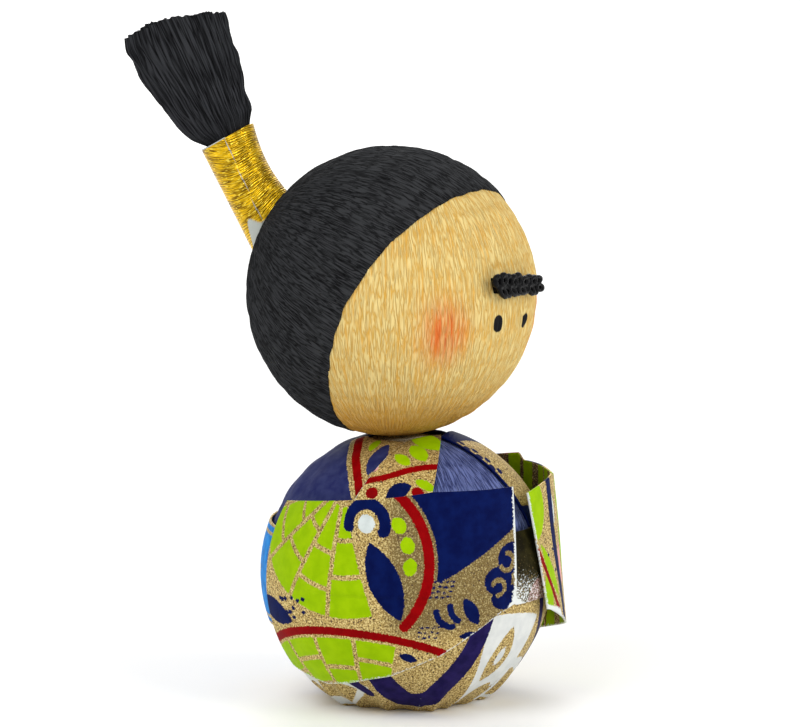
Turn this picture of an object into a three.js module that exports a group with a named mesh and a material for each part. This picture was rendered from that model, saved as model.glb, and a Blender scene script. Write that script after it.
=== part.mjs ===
// A roly-poly doll of paper: a round head on a round body, with a tied crepe topknot,
// a looped-braid eyebrow and two paper sleeves that stand round the body like a low wall.
// Millimetres, +Z up. The doll faces -Y, and its own right hand is on -X.
// The origin is the middle of the small flat spot that it rests on.

import * as THREE from "three";

// The two balls, each a 40 mm ball with its paper on
const BALL = 20.4;
const BODY_HEIGHT = 18.3; // middle of the body above the ground; what is missing below is the flat spot
const HEAD_HEIGHT = 57.8;
const HEAD_BACK = 2.4; // the head sits a little behind the middle of the body
const HEAD_TURN = 2.6; // and is turned a little to the doll's right

// Paper layers on the body, as distances from its middle
const PAPER = 0.3;
const UNDER_PAPER = 19.5; // the ball where other papers cover it
const WRAP = 19.8;
const OVER_WRAP = 20.35;
const SLEEVE_ON_BALL = 20.8;
const FRONT_FLAP = 20.55;
const SEAT_GAP = 0.3; // between the head and what it sits on

// The underside, where the gathered paper lies in flat folds
const FOLDS = 14;
const FOLD_START = -24; // degrees above the middle of the body
const FOLD_FULL = -52;
const FOLD_SWELL = 0.012; // the folds bulge by this share of the ball at their ridges

// The head's crepe: the hair leaves a round window for the face
const FACE_SKIN = 20.1;
const UNDER_HAIR = 19.7;
const HAIR_INSIDE = 20;
const HAIR_OUTSIDE = 20.45;
const WINDOW_RISE = -20; // middle of the window, degrees above the face's middle
const WINDOW = 78.3; // its angular radius at the cheeks
const FOREHEAD_DIP = 9.6; // how much less it is at the forehead
const NECK_CLEARANCE = 20; // degrees that the hair's edge keeps from the neck

// The topknot: a crepe bundle in a band wound with gold thread
const KNOT_TURN = 168;
const KNOT_RISE = 27.5;
const KNOT_LEAN = 28.4; // from upright, away from the face
const BAND_TOP = 13; // along the topknot, from the hair
const BAND_HALF_WIDTH = 4;
const BAND_HALF_DEPTH = 3.3;
const BAND_WAIST = 0.8; // how much the side next to the head draws in
const BAND_WALL = 0.7;
const STEM_SHARE = 0.9; // the bundle inside the band, of the band's own bore
const BRUSH_LENGTH = 17.6;
const BRUSH_SLANT = 0.19; // the brush is longer at the back, by this much of its width
const BRUSH_DEPTH_LOW = 3.1;
const BRUSH_DEPTH_HIGH = 2.3;
const BRUSH_TOP_SHARE = 0.55; // the trimmed end is rounded down to this share of the depth

// The eyebrow, one straight bar of looped braid in two rows
const BROW_LENGTH = 12.5;
const BROW_HEIGHT = 3.1;
const BROW_DEPTH = 1.7;
const BROW_UP = 2.8; // its middle above the head's middle
const BROW_STITCHES = 8;
const BROW_LOBE = 0.16; // how much each stitch swells, of the bar's thickness
const BROW_GROOVE = 0.22; // depth of the line between the two rows of loops
const BROW_GROOVE_WIDTH = 0.3;
const BROW_END = 0.083; // the ends are rounded over this share of half the length
const BROW_END_SIZE = 0.35; // down to the root of this share of the thickness

// The sleeves, as angles round the body from the front, and heights above the ground
const SLEEVE_BACK = 129;
const CREASE = 14; // the right sleeve's worn front crease
const FLAP_END = -14; // where its front flap ends, under the left sleeve
const FLAP_TOP = 26;
const FLAP_BOTTOM = 16;
const RIGHT_WALL = 21;
const RIGHT_LEAN = 0.0027; // inwards with the square of the height over the middle
const LEFT_WALL_TOP = 20.2;
const LEFT_FLARE = 0.09; // outwards for each millimetre down
const LEFT_TOP = 33;
const LEFT_NOTCH = 1; // how much lower its top edge is in front of the arm
const LEFT_EDGE_FOOT = 3; // where its free front edge starts, to the doll's left
const LEFT_EDGE_HEAD = -5;
const LOW_HUG = [40, 95]; // angles between which a sleeve's lower half comes to lie on the ball
const HIGH_HUG = [60, 128]; // and its upper half
const CREASE_STEP = 1.2; // from the end of the front flap to the sleeve's crease

// The body's other papers
const NECK_RISE = 74;
const CHEST_RIGHT = 55;
const CHEST_LEFT = -30;
const CHEST_FOOT = 12;
const WRAP_FOOT_SIDE = 4; // under the sleeves the wrap's foot is higher
const WRAP_FOOT_BACK = -19;
const WRAP_FOOT_DROP = [80, 108]; // angles between which it goes from the one to the other
const WRAP_TUCK = 2; // how far it stops short of the chest's sides
const FOOT_TO_SKIRT = 8; // from the wrap's foot down to where the skirt paper is at its full size
const SASH_END = 112;
const SASH_TOP = 21;
const SASH_FOOT = -19.5;

const { degToRad, lerp, smoothstep, clamp } = THREE.MathUtils;

const doll = new THREE.Group();
const body = new THREE.Group();
const head = new THREE.Group();
body.position.set(0, 0, BODY_HEIGHT);
head.position.set(0, HEAD_BACK, HEAD_HEIGHT);
head.rotation.z = degToRad(-HEAD_TURN);
doll.add(body, head);

// A direction from a ball's middle: turn goes from the front to the doll's right, rise goes up.
function direction(turn, rise) {
  const flat = Math.cos(degToRad(rise));
  return new THREE.Vector3(
    -Math.sin(degToRad(turn)) * flat,
    -Math.cos(degToRad(turn)) * flat,
    Math.sin(degToRad(rise)),
  );
}

// The value at x on a line through points [x, value], which go up in x.
function along(points, x) {
  const last = points.length - 1;
  let i = 0;
  while (i < last - 1 && x > points[i + 1][0]) i += 1;
  const [x0, value0] = points[i];
  const [x1, value1] = points[i + 1];
  return lerp(value0, value1, clamp((x - x0) / (x1 - x0), 0, 1));
}

function moveVertices(geometry, place) {
  const positions = geometry.getAttribute("position");
  const point = new THREE.Vector3();
  for (let i = 0; i < positions.count; i += 1) {
    point.fromBufferAttribute(positions, i);
    const moved = place(point);
    positions.setXYZ(i, moved.x, moved.y, moved.z);
  }
  geometry.deleteAttribute("uv");
  geometry.computeVertexNormals();
  return geometry;
}

function piece(group, name, geometry, color, roughness, metalness = 0) {
  const material = new THREE.MeshStandardMaterial({ color, roughness, metalness });
  const mesh = new THREE.Mesh(geometry, material);
  mesh.name = name;
  group.add(mesh);
}

// A sheet of paper: a box with many columns and rows and one layer, bent to where place puts it.
// place(u, v, out) goes from 0 to 1 round to the doll's right, upwards and outwards.
function sheet(columns, rows, place, leftward = false) {
  const box = new THREE.BoxGeometry(1, 1, 1, columns, rows, 1);
  return moveVertices(box, (p) => {
    const out = leftward ? 0.5 + p.z : 0.5 - p.z;
    return place(p.x + 0.5, p.y + 0.5, out);
  });
}

// The direction of the head's middle, seen from the body's
const neck = new THREE.Vector3(0, HEAD_BACK, HEAD_HEIGHT - BODY_HEIGHT);
const neckLength = neck.length();

// How far out from the body's middle the head's seat lets a paper or the ball reach.
function seatLimit(way) {
  const forward = way.dot(neck);
  const aside = neckLength ** 2 - forward ** 2;
  const reach = (BALL + SEAT_GAP) ** 2 - aside;
  return forward > 0 && reach > 0 ? forward - Math.sqrt(reach) : Infinity;
}

// A regular polygon's distance from its middle, against that of its corners.
function polygonShare(turn, sides) {
  const step = (2 * Math.PI) / sides;
  const fromMiddle = (((degToRad(turn) % step) + step) % step) - step / 2;
  return Math.cos(step / 2) / Math.cos(fromMiddle);
}

// The wrap's foot: low at the back, high under the sleeves and in front.
function wrapFoot(turn) {
  const fromFront = Math.abs(turn > 180 ? turn - 360 : turn);
  return lerp(WRAP_FOOT_SIDE, WRAP_FOOT_BACK, smoothstep(fromFront, ...WRAP_FOOT_DROP));
}

function bodyBall() {
  const ball = new THREE.SphereGeometry(1, 3 * FOLDS, 22);
  ball.rotateX(Math.PI / 2);
  return moveVertices(ball, (way) => {
    const rise = (Math.asin(clamp(way.z, -1, 1)) * 180) / Math.PI;
    const turn = (Math.atan2(-way.x, -way.y) * 180) / Math.PI;
    let reach = rise < wrapFoot(turn) - FOOT_TO_SKIRT ? BALL : UNDER_PAPER;
    const folded = smoothstep(-rise, -FOLD_START, -FOLD_FULL);
    reach *= lerp(1, polygonShare(turn, FOLDS) + FOLD_SWELL, folded);
    if (rise < 0) reach = Math.min(reach, BODY_HEIGHT / -way.z);
    return way.multiplyScalar(Math.min(reach, seatLimit(way) - 2 * PAPER));
  });
}

// A paper that lies on the body, with its inside at the given distance.
function paperOnBody(way, inside, out) {
  const reach = inside + PAPER * out;
  return way.multiplyScalar(Math.min(reach, seatLimit(way) - PAPER * (1 - out)));
}

function shoulderWrap() {
  const start = CHEST_RIGHT + WRAP_TUCK;
  const end = 360 + CHEST_LEFT - WRAP_TUCK;
  return sheet(27, 9, (u, v, out) => {
    const turn = lerp(start, end, u);
    return paperOnBody(direction(turn, lerp(wrapFoot(turn), NECK_RISE, v)), WRAP, out);
  });
}

function chest() {
  return sheet(9, 6, (u, v, out) =>
    paperOnBody(direction(lerp(CHEST_LEFT, CHEST_RIGHT, u), lerp(CHEST_FOOT, NECK_RISE, v)), WRAP, out),
  );
}

// A straight strip laid on the ball between four corners, each [turn, rise].
function strip(lowLeft, lowRight, highLeft, highRight) {
  const corners = [lowLeft, lowRight, highLeft, highRight].map((at) => direction(...at));
  return sheet(5, 6, (u, v, out) => {
    const low = corners[0].clone().lerp(corners[1], u);
    const high = corners[2].clone().lerp(corners[3], u);
    return paperOnBody(low.lerp(high, v).normalize(), OVER_WRAP, out);
  });
}

function sash() {
  return sheet(16, 4, (u, v, out) =>
    paperOnBody(direction(lerp(SASH_END, 360 - SASH_END, u), lerp(SASH_FOOT, SASH_TOP, v)), OVER_WRAP, out),
  );
}

// The sleeve outlines: heights of the upper and lower edge at angles from the front
const RIGHT_UPPER = [[CREASE, 32.8], [50, 33], [85, 31.4], [SLEEVE_BACK, 29.4]];
const RIGHT_LOWER = [
  [CREASE, 16.4], [23, 15.1], [46, 9.7], [67, 6.6], [90, 4.9], [105, 4.2], [SLEEVE_BACK, 5.8],
];
const LEFT_UPPER = [
  [LEFT_EDGE_HEAD, 31.4], [20, 32.8], [30, LEFT_TOP - LEFT_NOTCH], [70, LEFT_TOP - LEFT_NOTCH],
  [72, LEFT_TOP], [95, 31.6], [SLEEVE_BACK, 29.4],
];
const LEFT_LOWER = [
  [LEFT_EDGE_HEAD, 15.2], [6, 14.4], [30, 10.8], [67, 7.2], [90, 5.2], [105, 4.4], [SLEEVE_BACK, 5.8],
];

// A point of a sleeve: round the body by an angle, at a height, hugging the ball by a share.
function sleevePoint(turn, height, wall, hug, out) {
  const up = height - BODY_HEIGHT;
  const onBall = Math.sqrt((SLEEVE_ON_BALL + PAPER * out) ** 2 - up ** 2);
  const reach = lerp(wall + PAPER * out, onBall, hug);
  return new THREE.Vector3(
    -Math.sin(degToRad(turn)) * reach,
    -Math.cos(degToRad(turn)) * reach,
    up,
  );
}

function rightSleeve() {
  const flapColumns = 5;
  const wallColumns = 25;
  const columns = flapColumns + 1 + wallColumns;
  return sheet(columns, 7, (u, v, out) => {
    const column = Math.round(u * columns);
    if (column <= flapColumns) {
      const turn = lerp(FLAP_END, CREASE - CREASE_STEP, column / flapColumns);
      const up = lerp(FLAP_BOTTOM, FLAP_TOP, v) - BODY_HEIGHT;
      const reach = Math.sqrt((FRONT_FLAP + PAPER * out) ** 2 - up ** 2);
      return direction(turn, 0).multiplyScalar(reach).setZ(up);
    }
    const turn = lerp(CREASE, SLEEVE_BACK, (column - flapColumns - 1) / wallColumns);
    const height = lerp(along(RIGHT_LOWER, turn), along(RIGHT_UPPER, turn), v);
    const up = Math.max(height - BODY_HEIGHT, 0);
    const wall = RIGHT_WALL - RIGHT_LEAN * up ** 2;
    const hug = height < BODY_HEIGHT ? 1 : smoothstep(turn, ...HIGH_HUG);
    return sleevePoint(turn, height, wall, hug, out);
  });
}

function leftSleeve() {
  const place = (u, v, out) => {
    const edge = lerp(LEFT_EDGE_FOOT, LEFT_EDGE_HEAD, v);
    const angle = lerp(edge, SLEEVE_BACK, u);
    const height = lerp(along(LEFT_LOWER, angle), along(LEFT_UPPER, angle), v);
    const wall = LEFT_WALL_TOP + LEFT_FLARE * (LEFT_TOP - height);
    const low = smoothstep(angle, ...LOW_HUG);
    const high = smoothstep(angle, ...HIGH_HUG);
    const hug = lerp(low, high, smoothstep(height, BODY_HEIGHT - 2, BODY_HEIGHT + 2));
    return sleevePoint(-angle, height, wall, hug, out);
  };
  return sheet(30, 7, place, true);
}

// The hair's edge
const faceMiddle = direction(0, WINDOW_RISE);
const knotWay = direction(KNOT_TURN - HEAD_TURN, KNOT_RISE);
const neckWay = neck.clone().negate().normalize();
neckWay.applyAxisAngle(new THREE.Vector3(0, 0, 1), degToRad(HEAD_TURN));

function isHair(way) {
  const fromFace = (way.angleTo(faceMiddle) * 180) / Math.PI;
  const upwards = way.clone().projectOnPlane(faceMiddle).normalize();
  const top = new THREE.Vector3(0, 0, 1).projectOnPlane(faceMiddle).normalize();
  const dip = FOREHEAD_DIP * Math.max(upwards.dot(top), 0) ** 1.5;
  const fromNeck = (way.angleTo(neckWay) * 180) / Math.PI;
  return fromFace > WINDOW - dip && fromNeck > NECK_CLEARANCE;
}

// Two directions square to the topknot's foot, to measure angles round it
const knotSide = new THREE.Vector3(0, 0, 1).cross(knotWay).normalize();
const knotUp = knotWay.clone().cross(knotSide);

function roundKnot(spread, round) {
  const aside = knotSide.clone().multiplyScalar(Math.cos(round));
  aside.addScaledVector(knotUp, Math.sin(round));
  return knotWay.clone().multiplyScalar(Math.cos(spread)).addScaledVector(aside, Math.sin(spread));
}

// How far from the topknot's foot the hair ends, in one direction round it.
function hairSpread(round) {
  let inside = degToRad(60);
  let outside = degToRad(175);
  for (let i = 0; i < 24; i += 1) {
    const middle = (inside + outside) / 2;
    if (isHair(roundKnot(middle, round))) inside = middle;
    else outside = middle;
  }
  return inside;
}

const HEAD_COLUMNS = 32;
const HAIR_ROWS = 9;
const FACE_ROWS = 9;

// Both head pieces share their angles, so that the hair lies evenly on the ball.
function headBall() {
  const rows = HAIR_ROWS + FACE_ROWS;
  const ball = new THREE.SphereGeometry(1, HEAD_COLUMNS, rows);
  const edgeStep = degToRad(1.5);
  return moveVertices(ball, (p) => {
    const row = Math.round((Math.acos(clamp(p.y, -1, 1)) / Math.PI) * rows);
    const round = Math.atan2(p.z, -p.x);
    const edge = hairSpread(round);
    if (row <= HAIR_ROWS) {
      return roundKnot((edge * row) / HAIR_ROWS, round).multiplyScalar(UNDER_HAIR);
    }
    const share = (row - HAIR_ROWS - 1) / (FACE_ROWS - 1);
    return roundKnot(lerp(edge + edgeStep, Math.PI, share), round).multiplyScalar(FACE_SKIN);
  });
}

function hair() {
  const inner = [];
  const outer = [];
  for (let row = 0; row <= HAIR_ROWS; row += 1) {
    inner.push(new THREE.Vector2(row / HAIR_ROWS, 0));
    outer.unshift(new THREE.Vector2((2 * row) / HAIR_ROWS, 1));
  }
  const shell = new THREE.LatheGeometry([...inner, ...outer], HEAD_COLUMNS);
  return moveVertices(shell, (p) => {
    const outside = p.y > 0.5;
    const share = Math.hypot(p.x, p.z) / (outside ? 2 : 1);
    const round = Math.atan2(p.z, -p.x);
    const reach = outside ? HAIR_OUTSIDE : HAIR_INSIDE;
    return roundKnot(hairSpread(round) * share, round).multiplyScalar(reach);
  });
}

// The topknot's own frame: its foot on the hair, its line, and the two directions across it
const knotFoot = knotWay.clone().multiplyScalar(HAIR_OUTSIDE);
const outwards = direction(KNOT_TURN - HEAD_TURN, 0);
const knotLine = outwards.clone().multiplyScalar(Math.sin(degToRad(KNOT_LEAN)));
knotLine.z = Math.cos(degToRad(KNOT_LEAN));
const knotAcross = outwards.clone().cross(new THREE.Vector3(0, 0, 1)).normalize();
const knotBack = knotLine.clone().cross(knotAcross);

function knotPoint(back, across, height) {
  const point = knotFoot.clone().addScaledVector(knotBack, back);
  return point.addScaledVector(knotAcross, across).addScaledVector(knotLine, height);
}

// Where a line beside the topknot's own meets the hair, with a gap.
function footHeight(back, across) {
  const start = knotPoint(back, across, 0);
  const ahead = start.dot(knotLine);
  return Math.sqrt(ahead ** 2 - start.lengthSq() + (HAIR_OUTSIDE + SEAT_GAP) ** 2) - ahead;
}

// The band is slimmer on the side of the head, about halfway up.
function bandWidth(side, share) {
  const waist = side < 0 ? BAND_WAIST * Math.sin(Math.PI * clamp(share, 0, 1)) : 0;
  return BAND_HALF_WIDTH - waist;
}

function band() {
  const rows = 5;
  const profile = [];
  for (let row = 0; row <= rows; row += 1) {
    profile.push(new THREE.Vector2(2, row / rows));
    profile.unshift(new THREE.Vector2(1, row / rows));
  }
  profile.push(profile[0].clone());
  const tube = new THREE.LatheGeometry(profile, 24);
  return moveVertices(tube, (p) => {
    const outer = Math.hypot(p.x, p.z) > 1.5;
    const cos = p.x / (outer ? 2 : 1);
    const sin = p.z / (outer ? 2 : 1);
    const wall = outer ? 0 : BAND_WALL;
    const back = (bandWidth(cos, p.y) - wall) * cos;
    const across = (BAND_HALF_DEPTH - wall) * sin;
    return knotPoint(back, across, lerp(footHeight(back, across), BAND_TOP, p.y));
  });
}

// Half widths of the brush towards the head and towards the back, at heights over the band
const BRUSH_FRONT = [[0, 4], [1.9, 4.9], [9, 6.7], [BRUSH_LENGTH, 8.3]];
const BRUSH_BACK = [[0, 4.1], [1.5, 5.6], [5.6, 7.6], [15, 9.1], [BRUSH_LENGTH, 6.8]];

function topknot() {
  const stemRows = 4;
  const brushRows = 9;
  const rows = stemRows + 1 + brushRows;
  const tube = new THREE.CylinderGeometry(1, 1, 1, 24, rows);
  return moveVertices(tube, (p) => {
    const row = Math.round((p.y + 0.5) * rows);
    if (row <= stemRows) {
      const share = row / stemRows;
      const back = (bandWidth(p.x, share) - BAND_WALL) * STEM_SHARE * p.x;
      const across = (BAND_HALF_DEPTH - BAND_WALL) * STEM_SHARE * p.z;
      return knotPoint(back, across, lerp(footHeight(back, across), BAND_TOP + SEAT_GAP, share));
    }
    const share = (row - stemRows - 1) / brushRows;
    const height = BRUSH_LENGTH * share;
    const half = along(p.x < 0 ? BRUSH_FRONT : BRUSH_BACK, height);
    const back = half * p.x;
    const rounding = share === 1 ? BRUSH_TOP_SHARE : 1;
    const depth = lerp(BRUSH_DEPTH_LOW, BRUSH_DEPTH_HIGH, share) * rounding;
    const slant = BRUSH_SLANT * back * share;
    return knotPoint(back, depth * p.z, BAND_TOP + SEAT_GAP + height + slant);
  });
}

function eyebrow() {
  const rowsPerStitch = 3;
  const bar = new THREE.CylinderGeometry(1, 1, 1, 10, BROW_STITCHES * rowsPerStitch);
  return moveVertices(bar, (p) => {
    const stitch = Math.abs(Math.sin(Math.PI * BROW_STITCHES * (p.y + 0.5)));
    const end = Math.sqrt(clamp((1 - Math.abs(2 * p.y)) / BROW_END, BROW_END_SIZE, 1));
    const lump = (1 - BROW_LOBE + BROW_LOBE * stitch) * end;
    const groove = 1 - BROW_GROOVE * Math.exp(-((p.z / BROW_GROOVE_WIDTH) ** 2));
    const y = -(FACE_SKIN + SEAT_GAP + BROW_DEPTH / 2) - (BROW_DEPTH / 2) * p.x * lump * groove;
    return new THREE.Vector3(BROW_LENGTH * p.y, y, BROW_UP + (BROW_HEIGHT / 2) * p.z * lump);
  });
}

piece(body, "body", bodyBall(), "#c9b27a", 0.6);
piece(body, "shoulder_wrap", shoulderWrap(), "#2c315c", 0.45);
piece(body, "chest", chest(), "#4e5890", 0.8);
piece(body, "collar_right", strip([50, 33], [88, 33], [3, 74], [61, 71]), "#b89a55", 0.5);
piece(body, "lapel_left", strip([-42, 24], [-4, 22], [-48, 71], [9, 73]), "#b89a55", 0.5);
piece(body, "sash", sash(), "#1e86d8", 0.6);
piece(body, "sleeve_right", rightSleeve(), "#9bbf06", 0.55);
piece(body, "sleeve_left", leftSleeve(), "#9bbf06", 0.55);
piece(head, "head", headBall(), "#ddc077", 0.85);
piece(head, "hair", hair(), "#2e2f30", 0.9);
piece(head, "topknot_band", band(), "#ddb52a", 0.35, 0.7);
piece(head, "topknot", topknot(), "#28292c", 0.9);
piece(head, "eyebrow", eyebrow(), "#141414", 0.4);

export default doll;
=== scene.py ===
# %% [markdown]
# A paper roly-poly doll. Two balls carry all the papers: crepe for the head, printed washi for the robe.
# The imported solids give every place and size. Here each of them gets the fine form and the finish
# that the real paper, thread and braid have: crinkles, folds, wound turns, prints and worn edges.

# %% The frame
import math

import bpy
import numpy as np
from mathutils import Matrix, Vector


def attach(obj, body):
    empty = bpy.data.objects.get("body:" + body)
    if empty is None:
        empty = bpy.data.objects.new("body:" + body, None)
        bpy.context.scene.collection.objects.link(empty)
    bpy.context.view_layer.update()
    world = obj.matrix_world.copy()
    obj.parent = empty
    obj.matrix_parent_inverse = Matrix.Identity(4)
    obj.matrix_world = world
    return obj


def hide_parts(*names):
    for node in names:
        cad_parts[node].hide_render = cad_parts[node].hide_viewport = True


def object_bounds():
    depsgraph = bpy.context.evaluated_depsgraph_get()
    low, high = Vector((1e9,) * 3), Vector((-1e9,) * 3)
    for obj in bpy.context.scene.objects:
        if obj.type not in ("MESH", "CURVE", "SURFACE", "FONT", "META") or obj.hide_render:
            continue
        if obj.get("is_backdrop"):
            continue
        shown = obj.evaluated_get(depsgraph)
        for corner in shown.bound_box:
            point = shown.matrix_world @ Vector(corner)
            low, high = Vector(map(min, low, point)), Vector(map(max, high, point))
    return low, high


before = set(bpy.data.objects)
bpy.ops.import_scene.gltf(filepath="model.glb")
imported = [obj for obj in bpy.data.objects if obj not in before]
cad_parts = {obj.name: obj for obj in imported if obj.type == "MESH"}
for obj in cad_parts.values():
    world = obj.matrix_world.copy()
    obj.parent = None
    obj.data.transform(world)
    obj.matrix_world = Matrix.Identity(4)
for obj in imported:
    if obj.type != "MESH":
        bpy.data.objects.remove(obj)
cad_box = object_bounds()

MM = 0.001
print("solids:", sorted(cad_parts))
print("height in mm:", round((cad_box[1].z - cad_box[0].z) / MM, 1))

# %% [markdown]
# All measures are in millimetres, with the doll facing -Y. A place on a ball is given by two angles:
# turn goes from the front towards the doll's right hand, and rise goes up from the ball's middle.
# The two balls have the places that the solids have, so the fine pieces need no fitting.
# OVER_MM is how many millimetres one degree is, over a ball.

# %% Measures of the two balls
BALL = 20.4
BODY_MIDDLE = np.array([0.0, 0.0, 18.3])
HEAD_MIDDLE = np.array([0.0, 2.4, 57.8])
HEAD_TURN = 2.6
SEAT_GAP = 0.3
NECK = HEAD_MIDDLE - BODY_MIDDLE
NECK_LENGTH = float(np.linalg.norm(NECK))
OVER_MM = BALL * math.pi / 180


def smooth(x, start, end):
    share = np.clip((x - start) / (end - start), 0, 1)
    return share * share * (3 - 2 * share)


def mix(a, b, share):
    return a + (b - a) * share


def direction(turn, rise):
    """Unit vectors from a ball's middle, for arrays of angles in degrees."""
    t, r = np.radians(turn), np.radians(rise)
    t, r = np.broadcast_arrays(t, r)
    return np.stack([-np.sin(t) * np.cos(r), -np.cos(t) * np.cos(r), np.sin(r)], -1)


def on_head(points):
    """Points of the head, told from its middle with the face to -Y, at their place on the doll."""
    a = math.radians(-HEAD_TURN)
    turn = np.array([[math.cos(a), -math.sin(a), 0], [math.sin(a), math.cos(a), 0], [0, 0, 1]])
    return points @ turn.T + HEAD_MIDDLE


def seat_limit(ways):
    """How far out from the body's middle the head lets a paper reach."""
    forward = ways @ NECK
    reach = (BALL + SEAT_GAP) ** 2 - (NECK_LENGTH ** 2 - forward ** 2)
    limit = forward - np.sqrt(np.maximum(reach, 0))
    return np.where((forward > 0) & (reach > 0), limit, 1e6)


# %% [markdown]
# Every paper here starts as Blender's grid: a flat sheet with columns and rows, as paper comes.
# The grid is then bent to its place by a formula, because a sheet glued on a ball follows it exactly,
# and hand-placed points would only blur that. Its UV map is laid out in millimetres, for the patterns.

# %% Sheets of paper
def only(piece):
    bpy.ops.object.select_all(action="DESELECT")
    piece.select_set(True)
    bpy.context.view_layer.objects.active = piece


def sheet(name, across, up, place):
    """A grid with a column at each value of across and a row at each value of up, bent by place."""
    bpy.ops.object.select_all(action="DESELECT")
    bpy.ops.mesh.primitive_grid_add(x_subdivisions=len(across) - 1, y_subdivisions=len(up) - 1, size=1)
    piece = bpy.context.object
    piece.name = name
    corners = np.zeros(len(piece.data.vertices) * 3)
    piece.data.vertices.foreach_get("co", corners)
    corners = corners.reshape(-1, 3) + 0.5
    a = across[np.round(corners[:, 0] * (len(across) - 1)).astype(int)]
    b = up[np.round(corners[:, 1] * (len(up) - 1)).astype(int)]
    piece.data.vertices.foreach_set("co", (place(a, b) * MM).ravel())
    piece.data.update()
    return piece, a, b


def lay_uv(piece, u, v):
    """Gives each corner of the piece's faces the u and v of its vertex."""
    vertex = np.zeros(len(piece.data.loops), int)
    piece.data.loops.foreach_get("vertex_index", vertex)
    uv = np.stack([u[vertex], v[vertex]], -1)
    piece.data.uv_layers[0].name = "paper"
    piece.data.uv_layers[0].data.foreach_set("uv", uv.ravel())


def note(piece, name, values):
    """Stores one number for each vertex, for a material to read."""
    store = piece.data.attributes.new(name, "FLOAT", "POINT")
    store.data.foreach_set("value", np.broadcast_to(values, len(piece.data.vertices)).astype(np.float32))


def note_all(piece, inks):
    for ink, inside in inks.items():
        note(piece, ink, inside)


def union(*inks):
    return np.maximum.reduce(inks)


def thicken(piece, thickness, inwards):
    """Gives a sheet its thickness inwards, so that the bent grid stays its outer face.
    A grid that was bent to the doll's right faces inwards (1), and one bent to its left outwards (-1)."""
    only(piece)
    bpy.ops.object.modifier_add(type="SOLIDIFY")
    solidify = piece.modifiers[-1]
    solidify.thickness = thickness * MM
    solidify.offset = inwards
    bpy.ops.object.modifier_apply(modifier=solidify.name)


def close_ball(piece):
    """Joins a grid that was wrapped round into one closed skin, and turns its faces outwards."""
    only(piece)
    bpy.ops.object.mode_set(mode="EDIT")
    bpy.ops.mesh.select_all(action="SELECT")
    bpy.ops.mesh.remove_doubles(threshold=0.002 * MM)
    bpy.ops.mesh.normals_make_consistent(inside=False)
    bpy.ops.object.mode_set(mode="OBJECT")


def line_inside(piece, material):
    """Gives the faces that look towards the body the material of the paper's inside."""
    piece.data.materials.append(material)
    centres = np.zeros(len(piece.data.polygons) * 3)
    normals = np.zeros(len(piece.data.polygons) * 3)
    piece.data.polygons.foreach_get("center", centres)
    piece.data.polygons.foreach_get("normal", normals)
    outwards = (centres.reshape(-1, 3) - BODY_MIDDLE * MM) * normals.reshape(-1, 3)
    piece.data.polygons.foreach_set("material_index", (outwards.sum(-1) < 0).astype(np.int32))


def finish_piece(piece, slot, material, *nodes, inside=None):
    only(piece)
    bpy.ops.object.shade_smooth()
    piece.data.materials.append(material)
    if inside:
        line_inside(piece, inside)
    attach(piece, "root")
    if nodes:
        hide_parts(*nodes)
    triangles = sum(len(face.vertices) - 2 for face in piece.data.polygons)
    print(piece.name, triangles, "triangles")


# %% [markdown]
# Crepe paper is washi that was pushed together on a roller while wet, so it has long, narrow ridges
# that start, sway and fade at random. Many waves of nearly the same width, added up, do just that.
# The sum's absolute value has sharp valleys and round ridges, which is how pushed paper buckles.

# %% Crepe ridges
CREPE_TOP, CREPE_MEAN = 2, 0.8


def ridges(across, along, counts, seed, sway=1.2, waves=28):
    """Ridges that run along a sheet: about 0 in the valleys, and 1 and more on the ridges.
    across is in radians with a whole number of waves in a turn, along is in millimetres."""
    random = np.random.default_rng(seed)
    total = np.zeros(len(across))
    for _ in range(waves):
        count = random.integers(*counts)
        length = random.uniform(4, 14)
        start, drift = random.uniform(0, 2 * math.pi, 2)
        total += np.cos(count * across + start + sway * np.sin(2 * math.pi * along / length + drift))
    return np.abs(total / math.sqrt(waves / 2))


def swell_of(crepe, depth):
    """How far the ridges push a sheet out, in millimetres: about 0 on average."""
    return depth * (np.minimum(crepe, CREPE_TOP) - CREPE_MEAN)


# %% [markdown]
# One small function adds a node with its settings and links, and one turns the hex colours that were
# matched to the object into Blender's linear ones. Each material below is then a short list of nodes.

# %% Material helpers
def linear(code):
    parts = [int(code[i:i + 2], 16) / 255 for i in (1, 3, 5)]
    parts = [c / 12.92 if c <= 0.04045 else ((c + 0.055) / 1.055) ** 2.4 for c in parts]
    return (*parts, 1.0)


def add(tree, kind, sockets=None, **settings):
    """Adds a node. sockets maps an input's name or number to a value, a node or a node's output."""
    node = tree.nodes.new("ShaderNode" + kind)
    for name, value in settings.items():
        setattr(node, name, value)
    for key, value in (sockets or {}).items():
        named = [socket for socket in node.inputs if socket.enabled and socket.name == key]
        socket = named[0] if named else node.inputs[key]
        if isinstance(value, bpy.types.Node):
            value = next(output for output in value.outputs if output.enabled)
        if isinstance(value, bpy.types.NodeSocket):
            tree.links.new(value, socket)
        else:
            socket.default_value = value
    return node


def new_material(name):
    """A material whose node tree is still empty."""
    material = bpy.data.materials.new(name)
    material.use_nodes = True
    material.node_tree.nodes.clear()
    return material, material.node_tree


def paper_noise(tree, width, length, detail, **more):
    """Noise laid on the paper's own map, in patches so many millimetres wide and long."""
    paper = add(tree, "UVMap", uv_map="paper")
    place = add(tree, "Mapping", {"Vector": paper, "Scale": (1 / width, 1 / length, 1)})
    return add(tree, "TexNoise", {"Vector": place, "Scale": 1.0, "Detail": detail, **more})


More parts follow.
